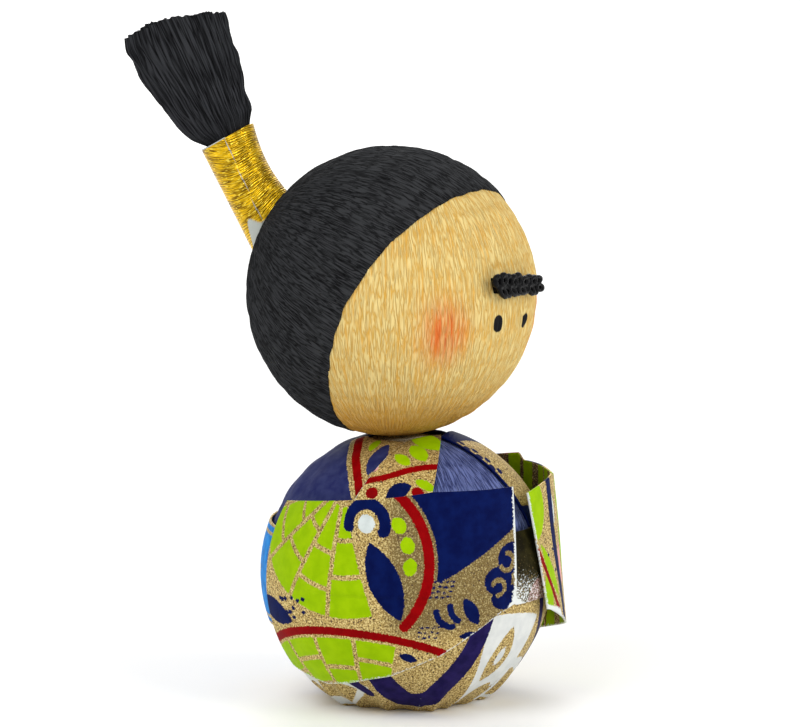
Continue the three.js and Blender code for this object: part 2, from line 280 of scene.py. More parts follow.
def crepe_folds(tree, width, length):
    """Crepe's small folds: 0 along thin valleys that join and part, up to 1 on the ridges between."""
    noise = paper_noise(tree, width, length, 1.5, Distortion=0.3)
    offset = add(tree, "Math", {0: noise, 1: 0.5}, operation="SUBTRACT")
    away = add(tree, "Math", {0: offset}, operation="ABSOLUTE")
    return add(tree, "MapRange", {"Value": away, "From Max": 0.13})


# %% [markdown]
# The camera looks at the doll's right front, nearly level, from far away, so that the balls stay
# round. Soft lights from the upper left and the right, a wide one behind and a white surrounding give
# the even shading of a photographer's light tent, over a plain pale floor. A light is told by its
# turn, rise, distance, size and watts. The floor and the far end of the view are in metres.

# %% Camera, light and floor
CAMERA_TURN = 60
CAMERA_RISE = 9
CAMERA_DISTANCE = 1000
VIEW_WIDTH = 112.7
VIEW_RIGHT, VIEW_UP = -0.986, 29.08
SENSOR = 36
FAR_END = 20
FLOOR_SIZE = 12
LIGHT_TENT = 0.62
LIGHTS = (
    ("key_light", 100, 50, 700, 420, 1.5),
    ("front_light", 5, 32, 800, 500, 2.4),
    ("back_light", -120, 34, 1000, 700, 4.5),
)

toward_camera = direction(CAMERA_TURN, CAMERA_RISE)
right = np.cross([0, 0, 1], toward_camera)
right = right / np.linalg.norm(right)
up = np.cross(toward_camera, right)
aim = BODY_MIDDLE + VIEW_RIGHT * right + VIEW_UP * up

bpy.ops.object.select_all(action="DESELECT")
bpy.ops.object.camera_add(location=(aim + toward_camera * CAMERA_DISTANCE) * MM)
camera = bpy.context.object
camera.rotation_mode = "QUATERNION"
camera.rotation_quaternion = Matrix(np.stack([right, up, toward_camera], -1).tolist()).to_quaternion()
camera.data.sensor_width = SENSOR
camera.data.lens = SENSOR * CAMERA_DISTANCE / VIEW_WIDTH
camera.data.clip_end = FAR_END
bpy.context.scene.camera = camera
bpy.context.scene.view_settings.view_transform = "Standard"


def soft_light(name, turn, rise, distance, size, watts):
    bpy.ops.object.select_all(action="DESELECT")
    bpy.ops.object.light_add(type="AREA", location=direction(turn, rise) * distance * MM)
    light = bpy.context.object
    light.name = name
    light.data.shape = "DISK"
    light.data.size = size * MM
    light.data.energy = watts
    light.rotation_mode = "QUATERNION"
    light.rotation_quaternion = Vector(-direction(turn, rise)).to_track_quat("-Z", "Y")


for each_light in LIGHTS:
    soft_light(*each_light)

world = bpy.data.worlds.new("light_tent")
bpy.context.scene.world = world
world.use_nodes = True
world.node_tree.nodes["Background"].inputs["Color"].default_value = linear("#ffffff")
world.node_tree.nodes["Background"].inputs["Strength"].default_value = LIGHT_TENT

floor_paint, tree = new_material("floor_pale_matt_paint")
add(tree, "OutputMaterial", {
    "Surface": add(tree, "BsdfPrincipled", {"Base Color": linear("#fbfbfa"), "Roughness": 0.95}),
})
bpy.ops.object.select_all(action="DESELECT")
bpy.ops.mesh.primitive_plane_add(size=FLOOR_SIZE)
floor = bpy.context.object
floor.name = "floor"
floor.data.materials.append(floor_paint)
floor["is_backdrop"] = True
print("lens in mm:", round(camera.data.lens))

# %% [markdown]
# The hair leaves a round window for the face, which dips at the middle of the forehead and keeps clear
# of the neck. The face and the hair are both told by how far a place is past that line. The topknot's
# foot is a direction from the head's middle, and the hair is laid out round it.

# %% Hairline
WINDOW_RISE = -20
WINDOW = 78.3
FOREHEAD_DIP = 9.6
NECK_CLEARANCE = 20
KNOT_TURN = 168
KNOT_RISE = 27.5


def unit(vectors):
    return vectors / np.linalg.norm(vectors, axis=-1, keepdims=True)


def angle_between(ways, way):
    return np.degrees(np.arccos(np.clip(ways @ way, -1, 1)))


FACE_MIDDLE = direction(0, WINDOW_RISE)
TOP_OF_FACE = unit(np.array([0, 0, 1]) - FACE_MIDDLE[2] * FACE_MIDDLE)
NECK_WAY = -unit(NECK)
KNOT_WAY = direction(KNOT_TURN - HEAD_TURN, KNOT_RISE)
KNOT_SIDE = unit(np.cross([0, 0, 1], KNOT_WAY))
KNOT_UP = np.cross(KNOT_WAY, KNOT_SIDE)


def past_hairline(ways):
    """Degrees from the hairline into the hair, for directions from the head's middle."""
    flat = ways - (ways @ FACE_MIDDLE)[..., None] * FACE_MIDDLE
    upwards = np.maximum(unit(flat + 1e-9) @ TOP_OF_FACE, 0)
    past = angle_between(ways, FACE_MIDDLE) - WINDOW + FOREHEAD_DIP * upwards ** 1.5
    return np.minimum(past, angle_between(ways, NECK_WAY) - NECK_CLEARANCE)


def round_knot(spread, around):
    """Directions at an angle from the topknot's foot, in radians, and round it."""
    aside = np.cos(around)[..., None] * KNOT_SIDE + np.sin(around)[..., None] * KNOT_UP
    return np.cos(spread)[..., None] * KNOT_WAY + np.sin(spread)[..., None] * aside


# %% [markdown]
# The face is cream crepe paper drawn tightly over the ball and gathered at the neck, so its ridges
# run down like meridians and crowd together there. The grid has its columns along them, close ones
# where the face shows and wide ones under the hair. Cheeks and eyes are painted on: they are values
# stored on the mesh, and the material turns them into soft colour and sharp ink. An eye is told by
# its turn and rise, its lean, and half its width and height.

# %% Face
FACE = 20.25
UNDER_HAIR = 19.75
FACE_SHOWN, FACE_COLUMNS, FACE_ROWS = 112, 541, 118
CREPE_DEPTH = 0.11
FACE_WAVES = (55, 95)
FINE_RIDGE = 0.36
FINE_DEPTH = 0.11
FACE_FOLD = 2.8
STRIPE_WIDE, STRIPE_LONG = 0.45, 7
NECK_DYE_AND_SHADE_START, NECK_DYE_AND_SHADE_FULL = 48, 38
RIGHT_CHEEK, LEFT_CHEEK, CHEEK_RISE = 36.3, -34, -9
CHEEK_WIDE, CHEEK_HIGH, CHEEK_RED = 3.4, 4.3, 0.95
EYES = ((10.5, -7.1, 0.02, 0.95, 1.25), (-9.2, -8.2, 0.05, 0.8, 1.1))


def face_sheet():
    shown = np.linspace(-FACE_SHOWN, FACE_SHOWN, FACE_COLUMNS)
    covered = np.linspace(FACE_SHOWN + 3, 180, 12)
    turns = np.concatenate([-covered[::-1], shown, covered])
    rises = np.concatenate([np.linspace(-90, 60, FACE_ROWS), np.linspace(64, 90, 7)])

    def crepe(turn, rise):
        return ridges(np.radians(turn), rise * OVER_MM, FACE_WAVES, seed=3)

    def place(turn, rise):
        ways = direction(turn, rise)
        hidden = smooth(past_hairline(ways), -0.5, 2.5)
        base = mix(FACE, UNDER_HAIR, hidden)
        swell = swell_of(crepe(turn, rise), CREPE_DEPTH) * (1 - hidden)
        return on_head(ways * (base + swell * np.cos(np.radians(rise)) ** 0.5)[:, None])

    piece, turn, rise = sheet("face_skin", turns, rises, place)
    lay_uv(piece, turn * OVER_MM, rise * OVER_MM)
    note(piece, "crepe", crepe(turn, rise))
    aside = np.where(turn > 0, turn - RIGHT_CHEEK, turn - LEFT_CHEEK) * OVER_MM / CHEEK_WIDE
    above = (rise - CHEEK_RISE) * OVER_MM / CHEEK_HIGH
    note(piece, "cheek", CHEEK_RED * np.exp(-np.hypot(aside, above) ** 2.4))
    note(piece, "eyes", eye_distance(turn, rise))
    close_ball(piece)
    return piece


def eye_distance(turn, rise):
    """Millimetres inside the painted eyes: two upright ovals that lean a little."""
    eyes = []
    for eye_turn, eye_rise, lean, half_width, half_height in EYES:
        y = (rise - eye_rise) * OVER_MM
        x = (turn - eye_turn) * OVER_MM + lean * y
        eyes.append((1 - np.hypot(x / half_width, y / half_height)) * half_width)
    return union(*eyes)


def face_crepe():
    """Crepe paper, dyed cream: matt, with ochre dye gathered in the valleys, a painted highlight on the
    ridges and painted shade in the valleys.
    """
    material, tree = new_material("crepe_paper_dyed_cream")
    folds = crepe_folds(tree, FINE_RIDGE, FACE_FOLD)
    stripes = paper_noise(tree, STRIPE_WIDE, STRIPE_LONG, 2.0)
    crepe = add(tree, "Attribute", attribute_name="crepe").outputs["Fac"]
    cheek = add(tree, "Attribute", attribute_name="cheek").outputs["Fac"]
    eyes = add(tree, "Attribute", attribute_name="eyes").outputs["Fac"]
    # The ridges are painted paler, as a painted highlight, and the valleys darker, as painted shade, over the
    # ochre the dye left there.
    ridge = add(tree, "Math", {0: crepe, 1: 0.2, 2: folds}, operation="MULTIPLY_ADD")
    high = add(tree, "MapRange", {"Value": ridge, "From Min": 0.1, "From Max": 0.9})
    sides = {"Factor": high, "A": linear("#d0a34c"), "B": linear("#e4cb86")}
    colour = add(tree, "Mix", sides, data_type="RGBA")
    streaky = add(tree, "MapRange", {"Value": stripes, "From Min": 0.56, "From Max": 0.66, "To Max": 0.7})
    height = add(tree, "SeparateXYZ", {0: add(tree, "TexCoord").outputs["Object"]}).outputs["Z"]
    # Towards the neck the face is painted darker and more orange: partly the dye gathered where the crepe
    # bunches, partly painted shade where the head curves under.
    neck_dye_and_shade = {"Value": height, "From Min": NECK_DYE_AND_SHADE_START * MM, "From Max": NECK_DYE_AND_SHADE_FULL * MM, "To Max": 0.75}
    low = add(tree, "MapRange", neck_dye_and_shade, interpolation_type="SMOOTHSTEP")
    rubbed = add(tree, "MapRange", {"Value": stripes, "From Min": 0.4, "From Max": 0.6, "To Min": 0.5})
    blush = add(tree, "Math", {0: cheek, 1: rubbed}, operation="MULTIPLY", use_clamp=True)
    ink = add(tree, "MapRange", {"Value": eyes, "From Min": -0.06, "From Max": 0.06})
    for cover, code in ((streaky, "#dca440"), (low, "#dd9c28"), (blush, "#da5e1e"), (ink, "#121116")):
        colour = add(tree, "Mix", {"Factor": cover, "A": colour, "B": linear(code)}, data_type="RGBA")
    relief = add(tree, "Bump", {"Strength": 1.0, "Distance": FINE_DEPTH * MM, "Height": folds})
    shader = add(tree, "BsdfPrincipled", {
        "Base Color": colour, "Roughness": 0.85, "Specular IOR Level": 0.2, "Normal": relief,
    })
    add(tree, "OutputMaterial", {"Surface": shader})
    return material


face = face_sheet()
finish_piece(face, "face_crepe", face_crepe(), "head")

# %% [markdown]
# The hair is one piece of black crepe, tied at the topknot and smoothed down over the head, so its
# ridges fan out from the topknot's foot. The grid therefore goes round that foot: its columns run
# from there to the hairline. The last rows turn in over the cut edge and back under, which closes it.

# %% Hair
HAIR_OUTSIDE = 20.4
HAIR_INSIDE = 20.0
HAIR_CREPE = 0.12
HAIR_WAVES = (60, 100)
HAIR_COLUMNS, HAIR_ROWS = 561, 116
EDGE_ROUND = 0.08


def hairline_spread(around):
    """How far from the topknot's foot the hair ends, in radians, for directions round it."""
    inside = np.full(len(around), math.radians(60))
    outside = np.full(len(around), math.radians(175))
    for _ in range(24):
        middle = (inside + outside) / 2
        hair_there = past_hairline(round_knot(middle, around)) > 0
        inside = np.where(hair_there, middle, inside)
        outside = np.where(hair_there, outside, middle)
    return inside


def hair_sheet():
    around_all = np.linspace(-math.pi, math.pi, HAIR_COLUMNS)
    rows = np.concatenate([np.linspace(0, 1, HAIR_ROWS), [1.004, 1.004, 1.0, 0.97, 0.5, 0.0]])
    index = np.arange(len(rows), dtype=float)
    ends = hairline_spread(around_all)
    wave = np.random.default_rng(8)
    wobble = np.zeros(len(around_all))
    for count in range(5, 40, 4):
        wobble += wave.uniform(0.001, 0.0025) * np.cos(count * around_all + wave.uniform(0, 6))

    def place(around, row):
        row = row.astype(int)
        share = rows[row]
        edge = np.interp(around, around_all, ends + wobble)
        ways = round_knot(edge * share, around)
        crepe = ridges(around, edge * share * BALL, HAIR_WAVES, seed=11)
        swell = swell_of(crepe, HAIR_CREPE) * np.sin(np.clip(edge * share, 0, 1.57)) ** 0.5
        reach = np.where(row > HAIR_ROWS + 1, HAIR_INSIDE, HAIR_OUTSIDE + swell)
        reach = np.where(row == HAIR_ROWS, HAIR_OUTSIDE - EDGE_ROUND + 0.7 * swell, reach)
        reach = np.where(row == HAIR_ROWS + 1, HAIR_INSIDE + EDGE_ROUND, reach)
        return on_head(ways * reach[:, None])

    piece, around, row = sheet("hair_crepe_cap", around_all, index, place)
    share = rows[row.astype(int)]
    along = np.interp(around, around_all, ends) * share * BALL
    lay_uv(piece, around * BALL, along)
    note(piece, "crepe", ridges(around, along, HAIR_WAVES, seed=11))
    close_ball(piece)
    return piece


def dyed_crepe(name, lit_ridge_colour, shaded_valley_colour, length):
    """Crepe paper, dyed through: matt, with a painted highlight on the ridges and painted shade in the
    valleys.
    """
    material, tree = new_material(name)
    folds = crepe_folds(tree, FINE_RIDGE, length)
    crepe = add(tree, "Attribute", attribute_name="crepe").outputs["Fac"]
    # The ridges are painted paler as lit and the valleys darker as shaded.
    ridge = add(tree, "Math", {0: crepe, 1: 0.15, 2: folds}, operation="MULTIPLY_ADD")
    high = add(tree, "MapRange", {"Value": ridge, "From Max": 0.9})
    sides = {"Factor": high, "A": linear(shaded_valley_colour), "B": linear(lit_ridge_colour)}
    colour = add(tree, "Mix", sides, data_type="RGBA")
    relief = add(tree, "Bump", {"Strength": 1.0, "Distance": FINE_DEPTH * MM, "Height": folds})
    shader = add(tree, "BsdfPrincipled", {
        "Base Color": colour, "Roughness": 0.85, "Specular IOR Level": 0.03, "Normal": relief,
    })
    add(tree, "OutputMaterial", {"Surface": shader})
    return material


hair = hair_sheet()
# Its two colours are the painted lit ridge and the painted shaded valley.
finish_piece(hair, "hair_crepe", dyed_crepe("crepe_paper_dyed_black", "#363739", "#070708", 3.2), "hair")

# %% [markdown]
# The topknot is a strip of black crepe rolled up and tied. Above the tie the roll opens like a brush,
# flat and wide, and its cut end shows the turns of the roll. So it is one long sheet on a spiral:
# three turns inside each other, squeezed into the band below and let out above.

# %% Topknot
KNOT_LEAN = 28.4
BAND_TOP = 13
BAND_HALF_WIDTH = 4
BAND_HALF_DEPTH = 3.3
BAND_WAIST = 0.8
BRUSH_LENGTH = 17.6
BRUSH_SLANT = 0.228
BRUSH_BULGE = 0.6
IN_BAND = 2.5
TURNS = 3
TIGHTER, LOOSENED = 0.19, 0.03
BRUSH_WAVES = (18, 34)
BRUSH_CREPE = 0.24
BRUSH_FOLDS = 0.22
BRUSH_PAPER = 0.22
BRUSH_ROUND = 6
CUT_WAVE = 0.36

lean = math.radians(KNOT_LEAN)
knot_outwards = direction(KNOT_TURN - HEAD_TURN, 0)
knot_line = knot_outwards * math.sin(lean) + np.array([0, 0, math.cos(lean)])
knot_across = unit(np.cross(knot_outwards, [0, 0, 1]))
knot_back = np.cross(knot_line, knot_across)
knot_foot = KNOT_WAY * HAIR_OUTSIDE


def knot_point(back, across, height):
    """A point told from the topknot's foot: to the back, across and along it."""
    local = knot_foot + back[:, None] * knot_back + across[:, None] * knot_across
    return on_head(local + height[:, None] * knot_line)


BRUSH_FRONT = np.array([[-4, 3.0], [0, 3.7], [1.9, 4.9], [9, 6.5], [17.6, 8.1]])
BRUSH_BACK = np.array([[-4, 3.0], [0, 3.8], [1.5, 5.7], [5.6, 7.6], [12, 8.8], [15.5, 9.1], [17.6, 8.0]])
BRUSH_DEPTH = np.array([[-4, 2.3], [0, 2.5], [3, 3.1], [17.6, 2.7]])


def brush_sheet():
    outer_turn = np.linspace(0, 2.2 * math.pi, 420)
    angles = np.concatenate([outer_turn, np.linspace(2.2 * math.pi, 2 * math.pi * TURNS, 200)[1:]])
    heights = np.concatenate([np.linspace(-IN_BAND, 0, 5)[:-1], np.linspace(0, BRUSH_LENGTH, 40)])
    rolling = np.random.default_rng(4)
    wave_phase = rolling.uniform(0, 6.28, 12)

    def cut(angle):
        """The cut end isn't quite even: it waves from fold to fold."""
        waves = [np.sin(angle * (1.3 + 0.9 * k) + wave_phase[k]) / (k + 1.5) for k in range(6)]
        return CUT_WAVE * sum(waves) + 0.16 * np.sin(37 * angle) * np.sin(11.3 * angle)

    def place(angle, height):
        share = np.clip(height / BRUSH_LENGTH, 0, 1)
        height = height + cut(angle) * share
        inward = 1 - (TIGHTER + LOOSENED * share) * angle / (2 * math.pi)
        folds = np.sin(angle * 9.3 + wave_phase[7]) * 0.5 + np.sin(angle * 5.1 + wave_phase[8]) * 0.5
        cos, sin = np.cos(angle + 2.5), np.sin(angle + 2.5)
        front = np.interp(height, *BRUSH_FRONT.T)
        back = np.interp(height, *BRUSH_BACK.T)
        depth = np.interp(height, *BRUSH_DEPTH.T)
        crepe = ridges(angle, height, BRUSH_WAVES, seed=21, sway=0.9)
        pushed = swell_of(crepe, BRUSH_CREPE) * smooth(height, -1, 3)
        swell = pushed + BRUSH_FOLDS * folds * smooth(height, -2, 2)
        wide = np.where(cos < 0, front, back) * inward
        x = (wide + swell) * cos
        y = (depth * inward + swell) * sin * (1 - 0.18 * np.abs(cos))
        slope = BRUSH_SLANT * x + BRUSH_BULGE - 0.014 * x ** 2
        return knot_point(x, y, BAND_TOP + SEAT_GAP * 0.5 + height + slope * share)

    piece, angle, height = sheet("topknot_crepe_roll", angles, heights, place)
    lay_uv(piece, angle * BRUSH_ROUND, height)
    note(piece, "crepe", ridges(angle, height, BRUSH_WAVES, seed=21, sway=0.9))
    thicken(piece, BRUSH_PAPER, 1)
    return piece


brush = brush_sheet()
# Its two colours are the painted lit ridge and the painted shaded valley.
finish_piece(brush, "brush_crepe", dyed_crepe("crepe_roll_dyed_black", "#343538", "#030304", 9.0), "topknot")

# %% [markdown]
# The tie is metallic thread, wound turn beside turn over a slip of pale paper. Each turn is a small
# round rib, so the surface is swept from a row of ribs, six rows to a turn, and the turns climb on one
# side and fall on the other, as a thread does when the hand tilts. One edge of the slip overlaps the
# other in a long slanting lap, with a pale edge.

# %% Band of gold thread
THREAD = 0.3
THREAD_HEIGHT = 0.09
ROWS_A_TURN = 6
BAND_ROUND = 3.6
LAP_STEP = 0.4
TOWARD_VIEW = -1
TAB_AT, TAB_HALF, TAB_HIGH = -1.15, 0.32, 0.2


def band_radius(cos, share):
    waist = np.where(cos < 0, BAND_WAIST * np.sin(math.pi * np.clip(share, 0, 1)), 0)
    return BAND_HALF_WIDTH - waist


def foot_height(back, across):
    """Where a line beside the topknot's own meets the hair."""
    start = knot_foot + back[:, None] * knot_back + across[:, None] * knot_across
    ahead = start @ knot_line
    return np.sqrt(ahead ** 2 - np.sum(start ** 2, -1) + (HAIR_OUTSIDE + 0.1) ** 2) - ahead


def lap_angle(share):
    """Where the lap runs, as an angle round the band: from the middle at the top to the head's side."""
    return mix(1.75, 1.6, share)


def climb(around):
    """How far the thread has climbed at an angle round the band: up in front and down behind."""
    return -1.5 * np.cos(around - 0.3) + 0.2 * np.sin(3 * around)


def band_sheet():
    rows_outside = int(BAND_TOP / THREAD * ROWS_A_TURN)
    shares = np.concatenate([np.linspace(0, 1, rows_outside), [1.004, 1.0, 0.75, 0.0, 0.0]])
    index = np.arange(len(shares), dtype=float)
    around_all = np.linspace(0, 2 * math.pi, 121)

    def lap(around, share):
        """1 on the upper layer just beside the lap, falling to 0 round the band to the lower layer."""
        return ((around * TOWARD_VIEW - lap_angle(1 - share)) / (2 * math.pi)) % 1.0

    def place(around, row):
        row = row.astype(int)
        share = shares[row]
        outside = row < rows_outside
        cos, sin = np.cos(around), np.sin(around)
        layer = lap(around, share)
        turn = (np.clip(share, 0, 1) * BAND_TOP + climb(around)) / THREAD + 0.3 * np.sin(7 * share * 6.28)
        rib = THREAD_HEIGHT * np.abs(np.sin(math.pi * turn)) ** 0.7
        step = LAP_STEP * np.clip(layer * 1.03, 0, 1) ** 0.6
        swell = np.where(outside, rib + step - 0.15, -0.55)
        swell = np.where(row == rows_outside, -0.1, swell)
        back = (band_radius(cos, share) + swell) * cos
        across = (BAND_HALF_DEPTH + swell) * sin
        top_wave = 0.12 * np.sin(2 * around + 1) + 0.1 * layer
        height = mix(foot_height(back, across), BAND_TOP + top_wave, np.minimum(share, 1))
        return knot_point(back, across, height)

    piece, around, row = sheet("topknot_thread_band", around_all, index, place)
    share = shares[row.astype(int)]
    lay_uv(piece, around * BAND_ROUND, share * BAND_TOP + climb(around))
    layer = lap(around, share)
    note(piece, "lap", np.minimum(layer, 1 - layer) * 2 * math.pi * BAND_ROUND)
    rim = np.where(row >= rows_outside - 3, 1.0, 0.0) * (layer > 0.35)
    from_tab = (around - TAB_AT + math.pi) % (2 * math.pi) - math.pi
    foot = smooth(TAB_HIGH * np.exp(-(from_tab / TAB_HALF) ** 2) - share, 0, 0.02)
    note(piece, "slip", np.maximum(rim, foot))
    close_ball(piece)
    return piece


def gold_thread():
    """Metallised polyester thread: mirror-like gold film, painted bright and dark from turn to turn as
    painted reflections, with painted glints.
    """
    material, tree = new_material("metallised_gold_thread")
    turns = paper_noise(tree, 2.2, 0.5 * THREAD, 2.0)
    patches = paper_noise(tree, 2.4, 1.8, 2.0)
    # Painted reflections: the film is painted bright and dark in patches from turn to turn.
    tone = add(tree, "Math", {0: patches, 1: 0.5, 2: turns}, operation="MULTIPLY_ADD")
    painted_reflection = add(tree, "MapRange", {"Value": tone, "From Min": 0.6, "From Max": 0.92})
    sides = {"Factor": painted_reflection, "A": linear("#6a4a00"), "B": linear("#fac814")}
    colour = add(tree, "Mix", sides, data_type="RGBA")
    # Painted glints along the turns.
    glints = paper_noise(tree, 0.7, 0.5 * THREAD, 1.0)
    painted_glint = add(tree, "MapRange", {"Value": glints, "From Min": 0.58, "From Max": 0.66, "To Max": 0.85})
    colour = add(tree, "Mix", {"Factor": painted_glint, "A": colour, "B": linear("#ffe251")}, data_type="RGBA")
    lap = add(tree, "Attribute", attribute_name="lap").outputs["Fac"]
    slip = add(tree, "Attribute", attribute_name="slip").outputs["Fac"]
    near_lap = add(tree, "MapRange", {"Value": lap, "From Min": 0.09, "From Max": 0.05, "To Max": 0.8})
    bare = add(tree, "Math", {0: near_lap, 1: slip}, operation="MAXIMUM")
    colour = add(tree, "Mix", {"Factor": bare, "A": colour, "B": linear("#b8bdb6")}, data_type="RGBA")
    metal = add(tree, "MapRange", {"Value": bare, "To Min": 0.85, "To Max": 0.0})
    relief = add(tree, "Bump", {"Strength": 1.0, "Distance": 0.06 * MM, "Height": turns})
    shader = add(tree, "BsdfPrincipled", {
        "Base Color": colour, "Metallic": metal, "Roughness": 0.28, "Normal": relief,
    })
    add(tree, "OutputMaterial", {"Surface": shader})
    return material


band = band_sheet()
finish_piece(band, "gold_thread", gold_thread(), "topknot_band")

# %% [markdown]
# The eyebrow is a bar of looped braid, crocheted from a thick glossy black cord: two rows of loops
# that lean against each other. One loop is a ring pulled long, and it is copied along both rows. A
# bar of the same cord behind them fills the gaps, as the braid's back does. It was glued on a little
# askew: the doll's left end sits lower, and its cut right end is slanted.

# %% Eyebrow
BROW_LENGTH = 12.8
BROW_UP = 3.2
BROW_ASIDE = -0.35
BROW_SHEAR = 0.45
BROW_DROP = 1.2
BROW_INSET = 1.2
BROW_THICK, BROW_THIN = 1.16, 0.8
LOOPS = 9
CORD = 0.42
LOOP_RADIUS = 0.62
LOOP_STRETCH = (1.28, 0.95, 0.82)
LOOP_ROWS = ((0.62, 0.66), (-0.62, -0.62))
LOOP_OUT = 0.85
UNEVEN = (0.14, 0.13, 0.4)
CORE_DEEP, CORE_HIGH = 0.9, 2


def add_loop(x, z, lean, depth):
    """One loop: a ring, stretched, leaned over and set in front of the face."""
    bpy.ops.object.select_all(action="DESELECT")
    bpy.ops.mesh.primitive_torus_add(
        major_segments=20, minor_segments=9, major_radius=LOOP_RADIUS * MM, minor_radius=CORD * MM
    )
    loop = bpy.context.object
    bpy.ops.object.mode_set(mode="EDIT")
    bpy.ops.mesh.select_all(action="SELECT")
    bpy.ops.transform.rotate(value=math.pi / 2, orient_axis="X", center_override=(0, 0, 0))
    bpy.ops.transform.resize(value=LOOP_STRETCH, center_override=(0, 0, 0))
    bpy.ops.transform.rotate(value=lean, orient_axis="Y", center_override=(0, 0, 0))
    bpy.ops.transform.translate(value=(x * MM, depth * MM, z * MM))
    bpy.ops.object.mode_set(mode="OBJECT")
    return loop


def braid_loops(front):
    """Both rows of loops, each loop a little out of line."""
    uneven = np.random.default_rng(6)
    length = BROW_LENGTH - BROW_INSET
    loops = []
    for row, (lean, lift) in enumerate(LOOP_ROWS):
        for i in range(LOOPS):
            x = (i + 0.5 + 0.25 * row) / (LOOPS + 0.3) * length - length / 2
            depth = front - LOOP_OUT - 0.12 * ((i + row) % 2) + 0.02 * abs(x) ** 1.2
            aside, rise, turned = uneven.uniform(-1, 1, 3) * UNEVEN
            loops.append(add_loop(x + aside, BROW_UP + lift + rise, lean + turned, depth))
    return loops


def braid_core(front):
    """The bar behind the loops."""
    bpy.ops.object.select_all(action="DESELECT")
    bpy.ops.mesh.primitive_cube_add(size=1)
    core = bpy.context.object
    bpy.ops.object.mode_set(mode="EDIT")
    bpy.ops.mesh.select_all(action="SELECT")
    bpy.ops.transform.resize(value=((BROW_LENGTH - 1.4) * MM, CORE_DEEP * MM, CORE_HIGH * MM))
    bpy.ops.transform.translate(value=(0, (front - CORE_DEEP / 2) * MM, BROW_UP * MM))
    bpy.ops.mesh.subdivide(number_cuts=6)
    bpy.ops.mesh.bevel(offset=0.2 * MM, segments=2)
    bpy.ops.object.mode_set(mode="OBJECT")
    return core


def eyebrow():
    front = -(FACE + 0.05)
    loops = braid_loops(front)
    core = braid_core(front)
    only(core)
    for loop in loops:
        loop.select_set(True)
    bpy.ops.object.join()
    core.name = "eyebrow_braid"
    points = np.zeros(len(core.data.vertices) * 3)
    core.data.vertices.foreach_get("co", points)
    points = points.reshape(-1, 3) / MM
    share = points[:, 0] / BROW_LENGTH + 0.5
    above = points[:, 2] - BROW_UP
    points[:, 0] += BROW_ASIDE - BROW_SHEAR * above * (1 - share)
    points[:, 2] = BROW_UP + above * mix(BROW_THICK, BROW_THIN, share) - BROW_DROP * share
    core.data.vertices.foreach_set("co", (on_head(points) * MM).ravel())
    core.data.update()
    return core


def black_braid():
    """Rayon cord, dyed black: silky, with a soft shine along the plies."""
    material, tree = new_material("rayon_braid_dyed_black")
    place = add(tree, "TexCoord").outputs["Object"]
    plies = add(tree, "TexNoise", {"Vector": place, "Scale": 1 / (0.24 * MM), "Detail": 2.0})
    silky = add(tree, "MapRange", {"Value": plies, "From Min": 0.35, "From Max": 0.75})
    sides = {"Factor": silky, "A": linear("#020203"), "B": linear("#0c0c0e")}
    colour = add(tree, "Mix", sides, data_type="RGBA")
    relief = add(tree, "Bump", {"Strength": 1.0, "Distance": 0.08 * MM, "Height": plies})
    shader = add(tree, "BsdfPrincipled", {
        "Base Color": colour, "Roughness": 0.25, "Specular IOR Level": 0.1, "Normal": relief,
    })
    add(tree, "OutputMaterial", {"Surface": shader})
    return material


brow = eyebrow()
finish_piece(brow, "black_braid", black_braid(), "eyebrow")

# %% [markdown]
# The robe is printed washi: gold lines and grounds with flat inks between them, laid on through
# screens, so each ink has a sharp edge that wobbles by about the weave of the screen. On the mesh, an
# ink is one number per vertex: how many millimetres that place lies inside the inked area. The figures
# are the common ones of such papers: fans, bows, leaves, curled clouds and rows of dots. Each is a
# formula with a few sizes, or a line through a few corners, drawn on the flat paper before it is bent.
# The colours and broad areas are the doll's, and the figures are generic.

# %% Drawing on flat paper
NO_INK = -9.0
RING_AT, RING_STEP, RING_APART = 0.3, 0.12, 0.33


def soften(outline, closed=True):
    """Cuts an outline's corners a little, so that few points give a drawn line."""
    line = np.array(outline, float)
    after = np.roll(line, -1, 0) if closed else line[1:]
    before = line if closed else line[:-1]
    cut = np.stack([mix(before, after, 0.14), mix(before, after, 0.86)], 1).reshape(-1, 2)
    return cut if closed else np.concatenate([line[:1], cut[1:-1], line[-1:]])


def distance_to(points, line, closed):
    """Distance from points to a line, and which of them it encloses."""
    nearest = np.full(len(points), 1e9)
    enclosed = np.zeros(len(points), bool)
    ends = np.roll(line, -1, 0) if closed else line[1:]
    for a, b in zip(line, ends):
        edge = b - a
        share = np.clip((points - a) @ edge / (edge @ edge), 0, 1)
        nearest = np.minimum(nearest, np.linalg.norm(points - a - share[:, None] * edge, axis=1))
        crosses = (a[1] > points[:, 1]) != (b[1] > points[:, 1])
        slope = edge[0] / (edge[1] if edge[1] else 1e-9)
        enclosed ^= crosses & (points[:, 0] < a[0] + (points[:, 1] - a[1]) * slope)
    return nearest, enclosed


def area(points, outline):
    """Millimetres inside a closed outline, and negative outside it."""
    nearest, enclosed = distance_to(points, soften(outline), True)
    return np.where(enclosed, nearest, -nearest)


def stroke(points, path, width):
    return width / 2 - distance_to(points, soften(path, closed=False), False)[0]


def spot(points, x, y, half_width, half_height):
    reach = np.hypot((points[:, 0] - x) / half_width, (points[:, 1] - y) / half_height)
    return (1 - reach) * min(half_width, half_height)


def specks(points, places, half_width, half_height):
    return union(*[spot(points, x, y, half_width, half_height) for x, y in places])


def polar(points, middle, start):
    """Distance from a middle, and degrees turned on from a starting angle."""
    across, up = points[:, 0] - middle[0], points[:, 1] - middle[1]
    return np.hypot(across, up), (np.degrees(np.arctan2(up, across)) - start) % 360


